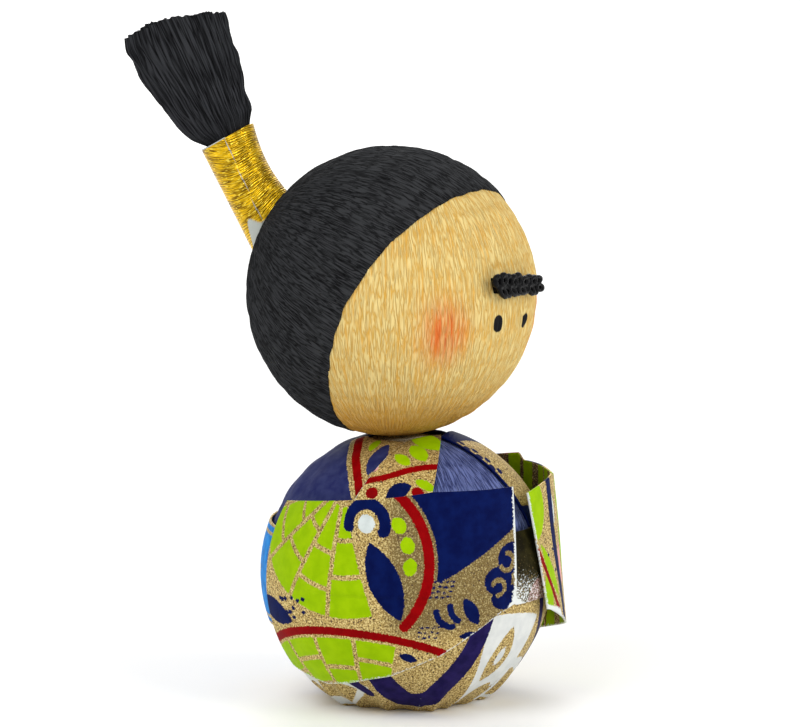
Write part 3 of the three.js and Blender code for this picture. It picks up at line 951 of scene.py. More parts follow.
def arc(points, middle, radius, start, end, width):
    """A stroke that runs round a middle from one angle to another."""
    reach, turned_on = polar(points, middle, (start + end) / 2 - 180)
    past_end = np.maximum(np.abs(turned_on - 180) - (end - start) / 2, 0)
    return width / 2 - np.hypot(reach - radius, np.radians(past_end) * reach)


def fan(points, middle, near, far, start, end):
    """Millimetres inside a folding fan: between two radii and two angles."""
    reach, turned_on = polar(points, middle, (start + end) / 2 - 180)
    to_side = np.radians((end - start) / 2 - np.abs(turned_on - 180)) * reach
    return np.minimum.reduce([reach - near, far - reach, to_side])


def leaded_fan(points, middle, near, far, start, end, sectors, line):
    """A fan cut up by lines: even ribs, with pieces of ring between them, high and low by turns."""
    reach, turned_on = polar(points, middle, start)
    sector = turned_on / (end - start) * sectors
    from_rib = np.abs(sector - np.round(sector)) * np.radians((end - start) / sectors) * reach
    ring = near + (far - near) * (RING_AT + RING_STEP * (np.floor(sector) % 2))
    from_ring = np.minimum(np.abs(reach - ring), np.abs(reach - ring - RING_APART * (far - near)))
    lines = line / 2 - np.minimum(from_rib, from_ring)
    return np.minimum(fan(points, middle, near, far, start, end), -lines)


def leaf(points, foot, tip, wide):
    """Two arcs that meet in a point at the foot and at the tip."""
    foot, tip = np.array(foot, float), np.array(tip, float)
    half = np.linalg.norm(tip - foot) / 2
    radius = (half ** 2 + (wide / 2) ** 2) / wide
    aside = np.array([foot[1] - tip[1], tip[0] - foot[0]]) / (2 * half) * (radius - wide / 2)
    from_arcs = [np.linalg.norm(points - (foot + tip) / 2 - side * aside, axis=1) for side in (-1, 1)]
    return radius - np.maximum(*from_arcs)


def leaves(points, places):
    return union(*[leaf(points, foot, tip, wide) for foot, tip, wide in places])


def place_round(middle, radius, angle):
    """The place at an angle round a middle."""
    a = math.radians(angle)
    return middle[0] + radius * math.cos(a), middle[1] + radius * math.sin(a)


# %% [markdown]
# The sleeves' print: two lime fans cut up by gold lines like leaded glass, a red bow beside each, a
# plain navy panel, and in the gold between them a sprig, a berry in a crook, a cloud, leaves and dots.
# Places are millimetres along the paper from the front crease, and heights above the ground. A fan is
# told by its pivot, its two radii and its two angles, a leaf by its foot, its tip and its width, and
# an arc by its middle, its radius and its two angles.

# %% The sleeve print
UPPER_FAN, UPPER_SECTORS = ((27, 34), 3.5, 19, -106, 4), 5
LOWER_FAN, LOWER_SECTORS = ((27, -29), 29, 41, 64, 102), 4
GOLD_LINE = 0.7
BOW_MIDDLE, BOW_RADIUS = (27, 23), 13
UPPER_BOW, UPPER_BOW_WIDE = (BOW_MIDDLE, BOW_RADIUS, 120, 223), 1.5
LOWER_BOW, LOWER_BOW_WIDE = ((27, -29), 42, 60, 112), 1.2
PANEL = [(-1, 36), (-1, 28), (13, 20), (20, 20), (22, 36)]
PANEL_GAP = 1.2
SPRIG_RADIUS, SPRIG_ANGLES, SPRIG_HALF, SPRIG_WIDE = 10.4, (148, 165, 182), 7, 2
BERRY, BERRY_RADIUS = (23, 28.5), 1.3
CROOK, CROOK_WIDE = (BERRY, 2.8, -10, 200), 1.7
CLOUD = [(1, 23, 2.6, 2.2), (3.5, 20, 2.4, 2), (2, 17.5, 2.6, 1.8)]
CURLS = [((2, 22.5), 1.2, 90, 330), ((3.5, 19), 1.1, 30, 270)]
CURL_WIDE = 0.7
NAVY_LEAVES = [
    ((18, 15), (22.5, 26), 4.5), ((6.5, 14), (9, 18), 2), ((6, 12.5), (9.5, 12.5), 1.2),
    ((36, 13.5), (45, 15.5), 3.5), ((15.5, 9), (18.5, 10), 1.2),
]
COMMAS, COMMA_WIDE = [((10.5, 16.5), 2.5, -90, -5), ((8.5, 17), 2.5, -60, 0)], 0.9
DOT_BLOCKS, DOT = [((14, 20.5), 5, 4), ((15, 14), 4, 3)], (0.3, 0.17)
DOT_ACROSS, DOT_DOWN, ROW_SHIFT = 0.85, 0.72, 0.25
FLECKS, FLECK_LOW, FLECK_HIGH, FLECK = 14, (33, 14), (39, 17), (0.4, 0.3)
KNOB = (27, 32.5, 1.5, 1.2)


def dots(points, corner, columns, rows):
    """Rows of small dots on a slanted grid."""
    places = []
    for row in range(rows):
        for column in range(columns):
            x = corner[0] - DOT_ACROSS * column + ROW_SHIFT * row
            places.append((x, corner[1] - DOT_DOWN * row + 0.1 * math.sin(3.1 * column + row)))
    return specks(points, places, *DOT)


def sprig(points):
    """Three lime leaves that follow the upper bow on its inside."""
    return leaves(points, [(
        place_round(BOW_MIDDLE, SPRIG_RADIUS, angle - SPRIG_HALF),
        place_round(BOW_MIDDLE, SPRIG_RADIUS, angle + SPRIG_HALF), SPRIG_WIDE,
    ) for angle in SPRIG_ANGLES])


def sleeve_navy(points):
    from_bow = np.hypot(points[:, 0] - BOW_MIDDLE[0], points[:, 1] - BOW_MIDDLE[1]) - BOW_RADIUS
    panel = np.minimum(area(points, PANEL), from_bow - PANEL_GAP)
    curls = union(*[arc(points, *curl, CURL_WIDE) for curl in CURLS])
    cloud = np.minimum(union(*[spot(points, *puff) for puff in CLOUD]), -curls)
    crook = arc(points, *CROOK, CROOK_WIDE)
    commas = union(*[arc(points, *comma, COMMA_WIDE) for comma in COMMAS])
    rows = union(*[dots(points, *block) for block in DOT_BLOCKS])
    places = np.random.default_rng(5).uniform(FLECK_LOW, FLECK_HIGH, (FLECKS, 2))
    flecks = specks(points, places, *FLECK)
    return union(panel, cloud, crook, commas, rows, flecks, leaves(points, NAVY_LEAVES))


def sleeve_inks(points):
    upper_fan = leaded_fan(points, *UPPER_FAN, UPPER_SECTORS, GOLD_LINE)
    lower_fan = leaded_fan(points, *LOWER_FAN, LOWER_SECTORS, GOLD_LINE)
    upper_bow = arc(points, *UPPER_BOW, UPPER_BOW_WIDE)
    lower_bow = arc(points, *LOWER_BOW, LOWER_BOW_WIDE)
    return {
        "lime": union(upper_fan, lower_fan, sprig(points)),
        "navy": sleeve_navy(points),
        "red": union(upper_bow, lower_bow),
        "white": spot(points, *BERRY, BERRY_RADIUS, BERRY_RADIUS),
        "pink": spot(points, *KNOB),
        # Near the front crease the gold is painted darker, with dimmer glints, as painted shade.
        "dull_and_shade": smooth(points[:, 0], 22, 18) * smooth(points[:, 1], 11, 15),
    }


# %% [markdown]
# The inks on the washi: lime, navy and red are flat and half matt. The gold is bronze powder in a
# binder, which glitters in grains and lets the dark paper through in pits: its glints are a painted
# highlight and its shaded grains painted shade. Real grains are finer than the picture shows, so they
# are drawn as coarse as they need to be seen. Where paper was folded and handled, the ink has broken
# off and the white fibres show, and the same white gives painted glints on the right sleeve's flap.

# %% Printed washi
GRAIN, FRAY, PATCH = 0.23, 0.24, 1.6
INK_WOBBLE, INK_SOFT = 0.5, 0.04
INSIDE_START, INSIDE_STEP = 2, 7
INSIDE_BAND, INSIDE_LINE = 1, 0.3
LIME = ("#8fb800", "#9dc304")
NAVY = ("#030d40", "#06164e")
RED = ("#800003", "#900206")


def bronze_powder(tree, grains, gold, dull_and_shaded_gold):
    """The printed gold's colour, with painted glints and painted shade on its grains, and its dark pits."""
    dull_and_shade = add(tree, "Attribute", attribute_name="dull_and_shade").outputs["Fac"]
    sides = {"Factor": dull_and_shade, "A": linear(gold), "B": linear(dull_and_shaded_gold)}
    colour = add(tree, "Mix", sides, data_type="RGBA")
    # Painted glints, dimmer where the gold is painted shaded, and painted shade on some grains; the pits are
    # the paper showing through.
    shine = add(tree, "MapRange", {"Value": dull_and_shade, "To Min": 1.0, "To Max": 0.45})
    glints = add(tree, "MapRange", {"Value": grains, "From Min": 0.5, "From Max": 0.66, "To Max": shine})
    shade = add(tree, "MapRange", {"Value": grains, "From Min": 0.46, "From Max": 0.38})
    pits = add(tree, "MapRange", {"Value": grains, "From Min": 0.355, "From Max": 0.325})
    for cover, code in ((glints, "#e8d596"), (shade, "#8f7747"), (pits, "#3a3034")):
        colour = add(tree, "Mix", {"Factor": cover, "A": colour, "B": linear(code)}, data_type="RGBA")
    return colour, pits


def lay_inks(tree, inks, frayed, patches, colour, covered):
    """Lays flat inks over a colour, and tells where the metal is covered."""
    fresh_patches = add(tree, "MapRange", {"Value": patches, "From Min": 0.35, "From Max": 0.65})
    start, end = INK_WOBBLE / 2 - INK_SOFT, INK_WOBBLE / 2 + INK_SOFT
    for ink, (deep, fresh) in inks.items():
        inside = add(tree, "Attribute", attribute_name=ink).outputs["Fac"]
        edge = add(tree, "Math", {0: frayed, 1: INK_WOBBLE, 2: inside}, operation="MULTIPLY_ADD")
        cover = add(tree, "MapRange", {"Value": edge, "From Min": start, "From Max": end})
        tones = {"Factor": fresh_patches, "A": linear(deep), "B": linear(fresh)}
        paint = add(tree, "Mix", tones, data_type="RGBA")
        colour = add(tree, "Mix", {"Factor": cover, "A": colour, "B": paint}, data_type="RGBA")
        covered = add(tree, "Math", {0: covered, 1: cover}, operation="MAXIMUM")
    return colour, covered


def printed_washi(name, inks, gold="#b79a5c", dull_and_shaded_gold="#6c5a36"):
    """Screen-printed mulberry paper: satin inks with sharp, slightly uneven edges on bronze powder."""
    material, tree = new_material(name)
    place = add(tree, "TexCoord").outputs["Object"]
    grains = add(tree, "TexNoise", {"Vector": place, "Scale": 1 / (GRAIN * MM), "Detail": 1.0})
    frayed = add(tree, "TexNoise", {"Vector": place, "Scale": 1 / (FRAY * MM), "Detail": 2.0})
    patches = add(tree, "TexNoise", {"Vector": place, "Scale": 1 / (PATCH * MM), "Detail": 3.0})
    colour, covered = bronze_powder(tree, grains, gold, dull_and_shaded_gold)
    colour, covered = lay_inks(tree, inks, frayed, patches, colour, covered)
    # White where the paper is worn, and on the right sleeve's flap also painted glints.
    wear_and_glints = add(tree, "Attribute", attribute_name="wear_and_glints").outputs["Fac"]
    broken = add(tree, "Math", {0: frayed, 1: 1.1, 2: wear_and_glints}, operation="MULTIPLY_ADD")
    whitened = add(tree, "MapRange", {"Value": broken, "From Min": 0.5, "From Max": 0.64})
    colour = add(tree, "Mix", {"Factor": whitened, "A": colour, "B": linear("#dfe3e0")}, data_type="RGBA")
    covered = add(tree, "Math", {0: covered, 1: whitened}, operation="MAXIMUM")
    metal = add(tree, "MapRange", {"Value": covered, "To Min": 0.4, "To Max": 0.0})
    rough = add(tree, "MapRange", {"Value": whitened, "To Min": 0.5, "To Max": 0.9})
    height = add(tree, "Math", {0: grains, 1: 0.5, 2: patches}, operation="MULTIPLY_ADD")
    relief = add(tree, "Bump", {"Strength": 1.0, "Distance": 0.035 * MM, "Height": height})
    shader = add(tree, "BsdfPrincipled", {
        "Base Color": colour, "Metallic": metal, "Roughness": rough,
        "Specular IOR Level": 0.03, "Normal": relief,
    })
    add(tree, "OutputMaterial", {"Surface": shader})
    return material


def inside_ink(along):
    """The paper's inside is lime too, with brown bands and lines that run up it."""
    half = INSIDE_STEP / 2
    from_band = np.abs((along - INSIDE_START + half) % INSIDE_STEP - half) - INSIDE_BAND
    from_line = np.abs((along - INSIDE_START) % INSIDE_STEP - half) - INSIDE_LINE
    return np.minimum(from_band, from_line)


SLEEVE_INKS = {
    # The painted shade on the right sleeve's flap.
    "flap_shade": ("#1a170b", "#2c2813"),
    "lime": LIME,
    "white": ("#c3ccca", "#d6dedc"),
    "pink": ("#c98a84", "#e6acaa"),
    "navy": NAVY,
    "red": RED,
}
INSIDE_INKS = {"inner_lime": LIME, "wear_and_glints": ("#d9ddd8", "#e2e5e2")}
sleeve_print = printed_washi("washi_screen_printed_sleeve", SLEEVE_INKS)
inside_print = printed_washi("washi_screen_printed_sleeve_inside", INSIDE_INKS, "#5d431c", "#6f5226")


# %% [markdown]
# Each sleeve is a strip of washi that stands round the body like a low wall: it hugs the ball below
# and at the back, and stands off it above and in front. A place on it has a turn and a height, and a
# share for how much it hugs the ball there. WALL_MM is how many millimetres one degree is, along it.

# %% Sleeve shapes
PAPER = 0.3
SLEEVE_ON_BALL = 20.8
SLEEVE_BACK = 129
WALL_MM = 21.3 * math.pi / 180


def round_body(turn, height, wall, hug):
    """A point of a sleeve's outside: at an angle and a height, hugging the ball by a share."""
    rise = height - BODY_MIDDLE[2]
    on_ball = np.sqrt((SLEEVE_ON_BALL + PAPER) ** 2 - rise ** 2)
    reach = mix(wall + PAPER, on_ball, hug)
    return direction(turn, 0) * reach[:, None] + np.stack([0 * rise, 0 * rise, height], -1)


# %% [markdown]
# The right sleeve turns in at a worn crease and ends in a short flap that lies on the body. The wall
# and the flap are both laid out along the paper from the crease, and a smooth step between them makes
# the fold. The flap lies in shade between the sleeves, and that shade is painted on it: a dark ink that
# hides its lime and navy and leaves the gold in grains. The edges are heights at some turns.

# %% Right sleeve
CREASE = 14
FOLD_BACK, FOLD_ROUND = 1.2, 0.6
FLAP_OUTSIDE = 20.55
FLAP_END = -14
FLAP_TOP, FLAP_BOTTOM = 26, 16
RIGHT_WALL = 21
RIGHT_LEAN = 0.0027
RIGHT_BUCKLE = 0.12
DENT, DENT_AT, DENT_HALF = 0.25, 24, 1.6
RIGHT_UPPER = np.array([(CREASE, 32.8), (50, 33), (85, 31.4), (SLEEVE_BACK, 29.4)])
RIGHT_LOWER = np.array([
    (CREASE, 16.4), (23, 15.1), (46, 9.7), (67, 6.6), (90, 4.9), (105, 4.2), (SLEEVE_BACK, 5.8),
])
OUTSIDE_INK = -1.0
FLAP_SHADE_COVER = 0.05
FLAP_PINK, FLAP_PINK_RADIUS = (-6.5, 16), 3.4


def right_wall(along, share):
    """The standing part: along is millimetres from the crease, share goes up from edge to edge."""
    turn = CREASE + along / WALL_MM
    height = mix(np.interp(turn, *RIGHT_LOWER.T), np.interp(turn, *RIGHT_UPPER.T), share)
    up = np.maximum(height - BODY_MIDDLE[2], 0)
    waves = np.sin(along / 2.3 + 0.2 * height) * smooth(height, 15, 26) * smooth(turn, 16, 30)
    dent = -DENT * np.exp(-((along - DENT_AT) / DENT_HALF) ** 2) * smooth(height, 13, 8)
    wall = RIGHT_WALL - RIGHT_LEAN * up ** 2 + RIGHT_BUCKLE * waves
    hug = np.where(height < BODY_MIDDLE[2], 1, smooth(turn, 60, 128))
    return round_body(turn, height, wall, hug) + direction(turn, 0) * dent[:, None], height


def right_flap(along, share):
    """The part behind the crease: along is millimetres from there too, below 0."""
    turn = CREASE - FOLD_BACK + (along + FOLD_ROUND) / WALL_MM
    height = mix(FLAP_BOTTOM, FLAP_TOP, share)
    rise = height - BODY_MIDDLE[2]
    reach = np.sqrt((FLAP_OUTSIDE + PAPER) ** 2 - rise ** 2)
    return direction(turn, 0) * reach[:, None] + np.stack([0 * rise, 0 * rise, height], -1), height


def right_sleeve():
    flap_length = (CREASE - FOLD_BACK - FLAP_END) * WALL_MM + FOLD_ROUND
    wall_length = (SLEEVE_BACK - CREASE) * WALL_MM
    fold = np.linspace(-FOLD_ROUND, FOLD_ROUND, 9)
    columns = np.concatenate([np.linspace(-flap_length, -0.8, 30), fold, np.linspace(0.8, wall_length, 200)])

    def place(along, share):
        wall, _ = right_wall(np.maximum(along, 0), share)
        flap, _ = right_flap(np.minimum(along, 0), share)
        return mix(flap, wall, smooth(along, -0.75, 0.35)[:, None])

    piece, along, share = sheet("sleeve_right_washi", columns, np.linspace(0, 1, 108), place)
    _, wall_height = right_wall(np.maximum(along, 0), share)
    _, flap_height = right_flap(np.minimum(along, 0), share)
    height = mix(flap_height, wall_height, smooth(along, -0.75, 0.35))
    lay_uv(piece, along, height)
    inks = sleeve_inks(np.stack([along, height], -1))
    on_flap = smooth(along, -0.1, -0.6)
    # On the flap the lime and navy give way to the painted shade.
    for ink in ("lime", "navy"):
        inks[ink] = mix(inks[ink], OUTSIDE_INK, on_flap)
    pink_patch = FLAP_PINK_RADIUS - np.hypot(along - FLAP_PINK[0], (height - FLAP_PINK[1]) * 1.1)
    inks["pink"] = mix(inks["pink"], np.minimum(pink_patch, 0), on_flap)
    # The painted shade: a thin dark ink over the gold, a little thicker higher up.
    inks["flap_shade"] = mix(OUTSIDE_INK, FLAP_SHADE_COVER + 0.08 * smooth(height, 18, 24), on_flap)
    inks["wear_and_glints"] = right_sleeve_wear_and_glints(along, height, share)
    inks["inner_lime"] = inside_ink(np.abs(along))
    note_all(piece, inks)
    thicken(piece, PAPER, 1)
    return piece


def right_sleeve_wear_and_glints(along, height, share):
    """The crease is rubbed white and the cut edges show a thin white line. The wider white at the crease's
    lower corner is partly wear and partly a painted highlight where the paper bends, and the white flecks low
    on the flap are painted glints.
    """
    crease = 0.48 - np.abs(along - 0.12) + 0.25 * smooth(height, 20, 16)
    # The lower corner is partly worn white and partly a painted highlight where the paper bends round.
    corner = 2.0 - np.hypot(along + 0.3, (height - 15.2) * 1.1)
    lower_edge = np.where(along > 1, 0.1 - share * 20, -1)
    # White flecks low on the flap, fading away from the crease, are painted glints.
    on_flap = 0.05 + 0.02 * along - 0.5 * smooth(height, 17.5, 24)
    flap_glints = np.where(along < -0.3, on_flap, -1)
    return union(crease, corner, lower_edge, flap_glints)


right_sleeve_piece = right_sleeve()
finish_piece(right_sleeve_piece, "figured_paper", sleeve_print, "sleeve_right", inside=inside_print)

# %% [markdown]
# The left sleeve ends in a free front edge that slants, where it stands open. A strip along that edge
# has figures of its own, and a white and a pink streak painted as highlights where it turns away, and
# the rest has the right sleeve's print, mirrored. Its cut edges show the white paper, most at the
# front's foot, and its buckles are a little deeper.

# %% Left sleeve
LEFT_WALL_TOP = 20.2
LEFT_FLARE = 0.09
LEFT_TOP = 33
LEFT_BUCKLE = 0.15
LEFT_EDGE_FOOT, LEFT_EDGE_HEAD = 3, -5
LEFT_UPPER = np.array([(-5, 31.4), (20, 32.8), (30, 32), (66, 32), (68, 33), (95, 31.6), (SLEEVE_BACK, 29.4)])
LEFT_LOWER = np.array([
    (-5, 15.2), (6, 14.4), (30, 10.8), (67, 7.2), (90, 5.2), (105, 4.4), (SLEEVE_BACK, 5.8),
])
FRONT_STRIP = 9
MIRRORED_AT = 46
LEFT_LIME = [((0.5, 24.5), (2.5, 33.5), 4.5), ((1, 24), (5, 15.5), 2), ((0.5, 12), (1.5, 20), 2.5)]
LEFT_RED, LEFT_RED_WIDE = [(0, 23), (3, 16), (6, 11)], 0.9
LEFT_NAVY, LEFT_NAVY_WIDE = [(6.5, 34), (6, 24), (7.5, 8)], 1.7
LEFT_DOTS, LEFT_DOT = [(3, 22), (5, 22.5), (5, 19.5)], 0.28
LEFT_WHITE_HIGHLIGHT, LEFT_PINK_HIGHLIGHT = (7, 28, 0.6, 2.2), (8, 20, 0.8, 3)


def left_shape(across, share):
    """Angle and height of a place on the left sleeve, whose front edge slants."""
    angle = mix(mix(LEFT_EDGE_FOOT, LEFT_EDGE_HEAD, share), SLEEVE_BACK, across)
    height = mix(np.interp(angle, *LEFT_LOWER.T), np.interp(angle, *LEFT_UPPER.T), share)
    return angle, height


def left_sleeve():
    def place(across, share):
        angle, height = left_shape(across, share)
        waves = np.sin(angle / 6.5 + 0.15 * height) * smooth(height, 14, 25)
        wall = LEFT_WALL_TOP + LEFT_FLARE * (LEFT_TOP - height) + LEFT_BUCKLE * waves
        middle = BODY_MIDDLE[2]
        hug = mix(smooth(angle, 40, 95), smooth(angle, 60, 128), smooth(height, middle - 2, middle + 2))
        return round_body(-angle, height, wall, hug)

    piece, across, share = sheet("sleeve_left_washi", np.linspace(0, 1, 180), np.linspace(0, 1, 92), place)
    angle, height = left_shape(across, share)
    along = (angle - mix(LEFT_EDGE_FOOT, LEFT_EDGE_HEAD, share)) * WALL_MM
    lay_uv(piece, along, height)
    inks = left_inks(along, height)
    inks["wear_and_glints"] = left_sleeve_wear(along, share)
    inks["flap_shade"] = NO_INK
    inks["inner_lime"] = inside_ink(along)
    note_all(piece, inks)
    thicken(piece, PAPER, -1)
    return piece


def left_inks(along, height):
    """In the front strip figures of its own with two painted highlights, and further back the mirrored print,
    1 mm higher.
    """
    front = np.stack([along, height], -1)
    rest = sleeve_inks(np.stack([MIRRORED_AT - along, height - 1], -1))
    navy_line = stroke(front, LEFT_NAVY, LEFT_NAVY_WIDE)
    inks = {
        "lime": leaves(front, LEFT_LIME),
        "red": stroke(front, LEFT_RED, LEFT_RED_WIDE),
        "navy": union(navy_line, specks(front, LEFT_DOTS, LEFT_DOT, LEFT_DOT)),
        # A white and a pink streak near the far side are painted highlights.
        "white": spot(front, *LEFT_WHITE_HIGHLIGHT),
        "pink": spot(front, *LEFT_PINK_HIGHLIGHT),
    }
    own = smooth(along, FRONT_STRIP + 0.5, FRONT_STRIP - 0.5)
    return {ink: mix(rest[ink], inks.get(ink, 0.0), own) for ink in rest}


def left_sleeve_wear(along, share):
    """A thin white line along the cut edges, and a wider torn one at the front's foot."""
    low = share * 18
    torn = 0.8 - low - 0.25 * along * smooth(along, 3, 0)
    return np.maximum(0.12 - along, np.where(along < 5, torn, 0.1 - low))


left_sleeve_piece = left_sleeve()
finish_piece(left_sleeve_piece, "figured_paper", sleeve_print, "sleeve_left", inside=inside_print)

# %% [markdown]
# The body's own paper is a round of the same washi, gathered underneath in flat folds and pressed flat
# where the doll stands. A few folds were gathered too thick and stand out as small corners near the
# ground. The print is drawn on a round sheet whose middle is the flat spot: a place on it is the way
# it lies from there, measured over the ball.

# %% Base paper
FOLDS = 14
FOLD_START, FOLD_FULL = -24, -52
FOLD_SWELL = 0.012
FOLD_LAP = 0.2
UNDER_PAPER = 19.5
THICK_FOLDS = (117, -21, 40, 205, 283)
THICK_FOLD_RISE = -57
THICK_FOLD = 0.95
THICK_FOLD_HIGH, THICK_FOLD_HALF = 22, 5.5
WRAP_FOOT_FRONT, WRAP_FOOT_BACK = 4, -19
RUBBED_FROM, RUBBED_TO = -34, -60
CHEVRON, CHEVRON_WIDE = [(-20, -5), (-10, -6.5), (-13, -26)], 3.8
BASE_FAN = ((-3, -8), 2, 20, -118, -72)
BASE_LEAVES = [((-5, -16), (-5, -26), 4.5), ((-3, -10), (-1.5, -16), 3)]
BASE_BUD = (-5, -21, 0.8, 1.6)
SIDE_FAN = ((-8, 5), 2, 11, 150, 222)
SIDE_FAN_GOLD = ((-8, 5), 4, 9, 158, 214)
BASE_BAND, BASE_BAND_WIDE = [(4, -30), (8, -20), (9, -12)], 1.9


def wrap_foot(turn):
    """The rise at which the shoulder wrap ends: it is pulled down behind."""
    from_front = np.abs((turn + 180) % 360 - 180)
    return mix(WRAP_FOOT_FRONT, WRAP_FOOT_BACK, smooth(from_front, 80, 108))


def fold_share(turn):
    """Where a place lies between two folds, from 0 to 1."""
    return (turn / 360 * FOLDS) % 1.0


def thick_folds(turn, rise):
    """The corners that stand out, highest near the ground."""
    swell = np.zeros(len(turn))
    for fold in THICK_FOLDS:
        aside = (turn - fold + 180) % 360 - 180
        swell = np.maximum(swell, np.exp(-np.abs(aside / THICK_FOLD_HALF) ** 1.5))
    return THICK_FOLD * swell * smooth(rise, THICK_FOLD_RISE + THICK_FOLD_HIGH, THICK_FOLD_RISE)


def base_sheet():
    turns = np.linspace(-180, 180, 301)
    underneath, seen, hidden = np.linspace(-90, -66, 17), np.linspace(-64, 6, 100), np.linspace(10, 90, 10)
    rises = np.concatenate([underneath, seen, hidden])

    def place(turn, rise):
        ways = direction(turn, rise)
        skirt = smooth(rise, wrap_foot(turn) - 5, wrap_foot(turn) - 9)
        reach = mix(UNDER_PAPER, BALL, skirt)
        folded = smooth(rise, FOLD_START, FOLD_FULL)
        share = fold_share(turn)
        flat = math.cos(math.pi / FOLDS) / np.cos((share - 0.5) * 2 * math.pi / FOLDS)
        lap = FOLD_LAP * share ** 3 * folded * np.cos(np.radians(rise))
        reach = reach * mix(1, flat + FOLD_SWELL, folded) + lap + thick_folds(turn, rise)
        down = np.maximum(-ways[:, 2], 1e-6)
        reach = np.where(rise < 0, np.minimum(reach, BODY_MIDDLE[2] / down), reach)
        reach = np.minimum(reach, seat_limit(ways) - 2 * PAPER)
        return BODY_MIDDLE + ways * reach[:, None]

    piece, turn, rise = sheet("body_base_washi", turns, rises, place)
    over = (90 + rise) * OVER_MM
    round_sheet = direction(turn, 0)[:, :2] * over[:, None]
    lay_uv(piece, round_sheet[:, 0], round_sheet[:, 1])
    inks = base_inks(round_sheet)
    near_lap = np.minimum(fold_share(turn), 1 - fold_share(turn)) * over * 2 * math.pi / FOLDS
    inks["wear_and_glints"] = mix(-0.3, -0.04, smooth(rise, RUBBED_FROM, RUBBED_TO)) - near_lap
    note_all(piece, inks)
    close_ball(piece)
    return piece


def turned(points, degrees):
    a = math.radians(degrees)
    return points @ np.array([[math.cos(a), math.sin(a)], [-math.sin(a), math.cos(a)]])


def base_inks(points):
    """A navy chevron, white fans with gold leaves, and a navy band, three times round the sheet."""
    navy = white = np.full(len(points), NO_INK)
    for third in range(3):
        local = turned(points, 120 * third)
        broad = np.minimum(fan(local, *BASE_FAN), -leaves(local, BASE_LEAVES))
        side = np.minimum(fan(local, *SIDE_FAN), -fan(local, *SIDE_FAN_GOLD))
        white = union(white, broad, side, spot(local, *BASE_BUD))
        navy = union(navy, stroke(local, CHEVRON, CHEVRON_WIDE), stroke(local, BASE_BAND, BASE_BAND_WIDE))
    return {"navy": navy, "white": white, "dull_and_shade": 0.15}


BASE_INKS = {"white": ("#cfd2d0", "#dcdedb"), "navy": ("#17113f", "#241b52")}
base_print = printed_washi("washi_screen_printed_base", BASE_INKS)
base = base_sheet()
finish_piece(base, "base_paper", base_print, "body")

# %% [markdown]
# Over the shoulders lies a plain navy washi, with a red line between gold ones where it meets the
# neck in front. It is drawn on a round sheet too, this time with its middle at the neck. The chest
# that shows between the collars is blue crepe, whose ridges fan out from under the head.

# %% Shoulder wrap and chest
WRAP = 19.8
NECK_RISE = 74
CHEST_RIGHT, CHEST_LEFT, CHEST_FOOT = 55, -30, 12
CHEST_CREPE = 0.14
CHEST_WAVES = (85, 125)
WRAP_CRUMPLE = 0.6
CREASE_WAVES, CREASE_MEAN = 6, 0.64
RED_LINE, RED_WIDE, BORDER_WIDE = [(-4, 5.5), (-10, 3), (-17, -1)], 1.35, 2.9
GOLD_BORDER = [(-4, 5), (-10, 2.5), (-17, -1), (-17, -6), (-4, -6)]
WRAP_NAVY_LEAF = ((-7, -1), (-14, -1), 2.5)
WRAP_LIME_LEAF = ((-5.5, 1.5), (-9, 1), 1.6)


def on_body(ways, inside):
    """Points on the outside of a paper whose inside lies that far out, but not inside the head."""
    reach = np.minimum(inside + PAPER, seat_limit(ways))
    return BODY_MIDDLE + ways * reach[:, None]


def from_neck(ways):
    """Where directions lie on the round sheet: their way from the top, in millimetres over the ball."""
    far = np.arccos(np.clip(ways[:, 2], -1, 1)) * BALL
    return unit(ways[:, :2] + 1e-9) * far[:, None]


def crumples(ways, depth):
    """Flat facets between straight creases, as paper takes that was crumpled and smoothed again."""
    random = np.random.default_rng(17)
    total = np.zeros(len(ways))
    for _ in range(CREASE_WAVES):
        across = ways @ unit(random.normal(size=3))
        total += np.abs(np.sin(across * random.uniform(8, 15) + random.uniform(0, 3)))
    return depth * (total / CREASE_WAVES - CREASE_MEAN)


def shoulder_wrap():
    turns = np.linspace(CHEST_RIGHT + 2, 360 + CHEST_LEFT - 2, 220)

    def ways(turn, share):
        return direction(turn, mix(wrap_foot(turn), NECK_RISE, share))

    def place(turn, share):
        return on_body(ways(turn, share), WRAP + crumples(ways(turn, share), WRAP_CRUMPLE))

    piece, turn, share = sheet("shoulder_wrap_washi", turns, np.linspace(0, 1, 64), place)
    points = from_neck(ways(turn, share))
    lay_uv(piece, points[:, 0], points[:, 1])
    gold = union(stroke(points, RED_LINE, BORDER_WIDE), area(points, GOLD_BORDER))
    note_all(piece, {
        "navy": union(-gold, leaf(points, *WRAP_NAVY_LEAF)),
        "red": stroke(points, RED_LINE, RED_WIDE),
        "lime": leaf(points, *WRAP_LIME_LEAF),
        "dull_and_shade": 0.1,
        "wear_and_glints": NO_INK,
    })
    thicken(piece, PAPER, 1)
    return piece


def chest_sheet():
    turns = np.linspace(CHEST_LEFT, CHEST_RIGHT, 170)
    rises = np.linspace(CHEST_FOOT, NECK_RISE, 60)

    def crepe(turn, rise):
        return ridges(np.radians(turn), rise * OVER_MM, CHEST_WAVES, seed=31)

    def place(turn, rise):
        swell = swell_of(crepe(turn, rise), CHEST_CREPE) * np.cos(np.radians(rise))
        return on_body(direction(turn, rise), WRAP + swell)

    piece, turn, rise = sheet("chest_crepe", turns, rises, place)
    lay_uv(piece, turn * OVER_MM, rise * OVER_MM)
    note(piece, "crepe", crepe(turn, rise))
    thicken(piece, PAPER, 1)
    return piece


WRAP_INKS = {"lime": LIME, "navy": ("#22275a", "#343a68"), "red": RED}
wrap = shoulder_wrap()
finish_piece(wrap, "wrap_paper", printed_washi("washi_plain_navy_with_border", WRAP_INKS), "shoulder_wrap")
chest = chest_sheet()
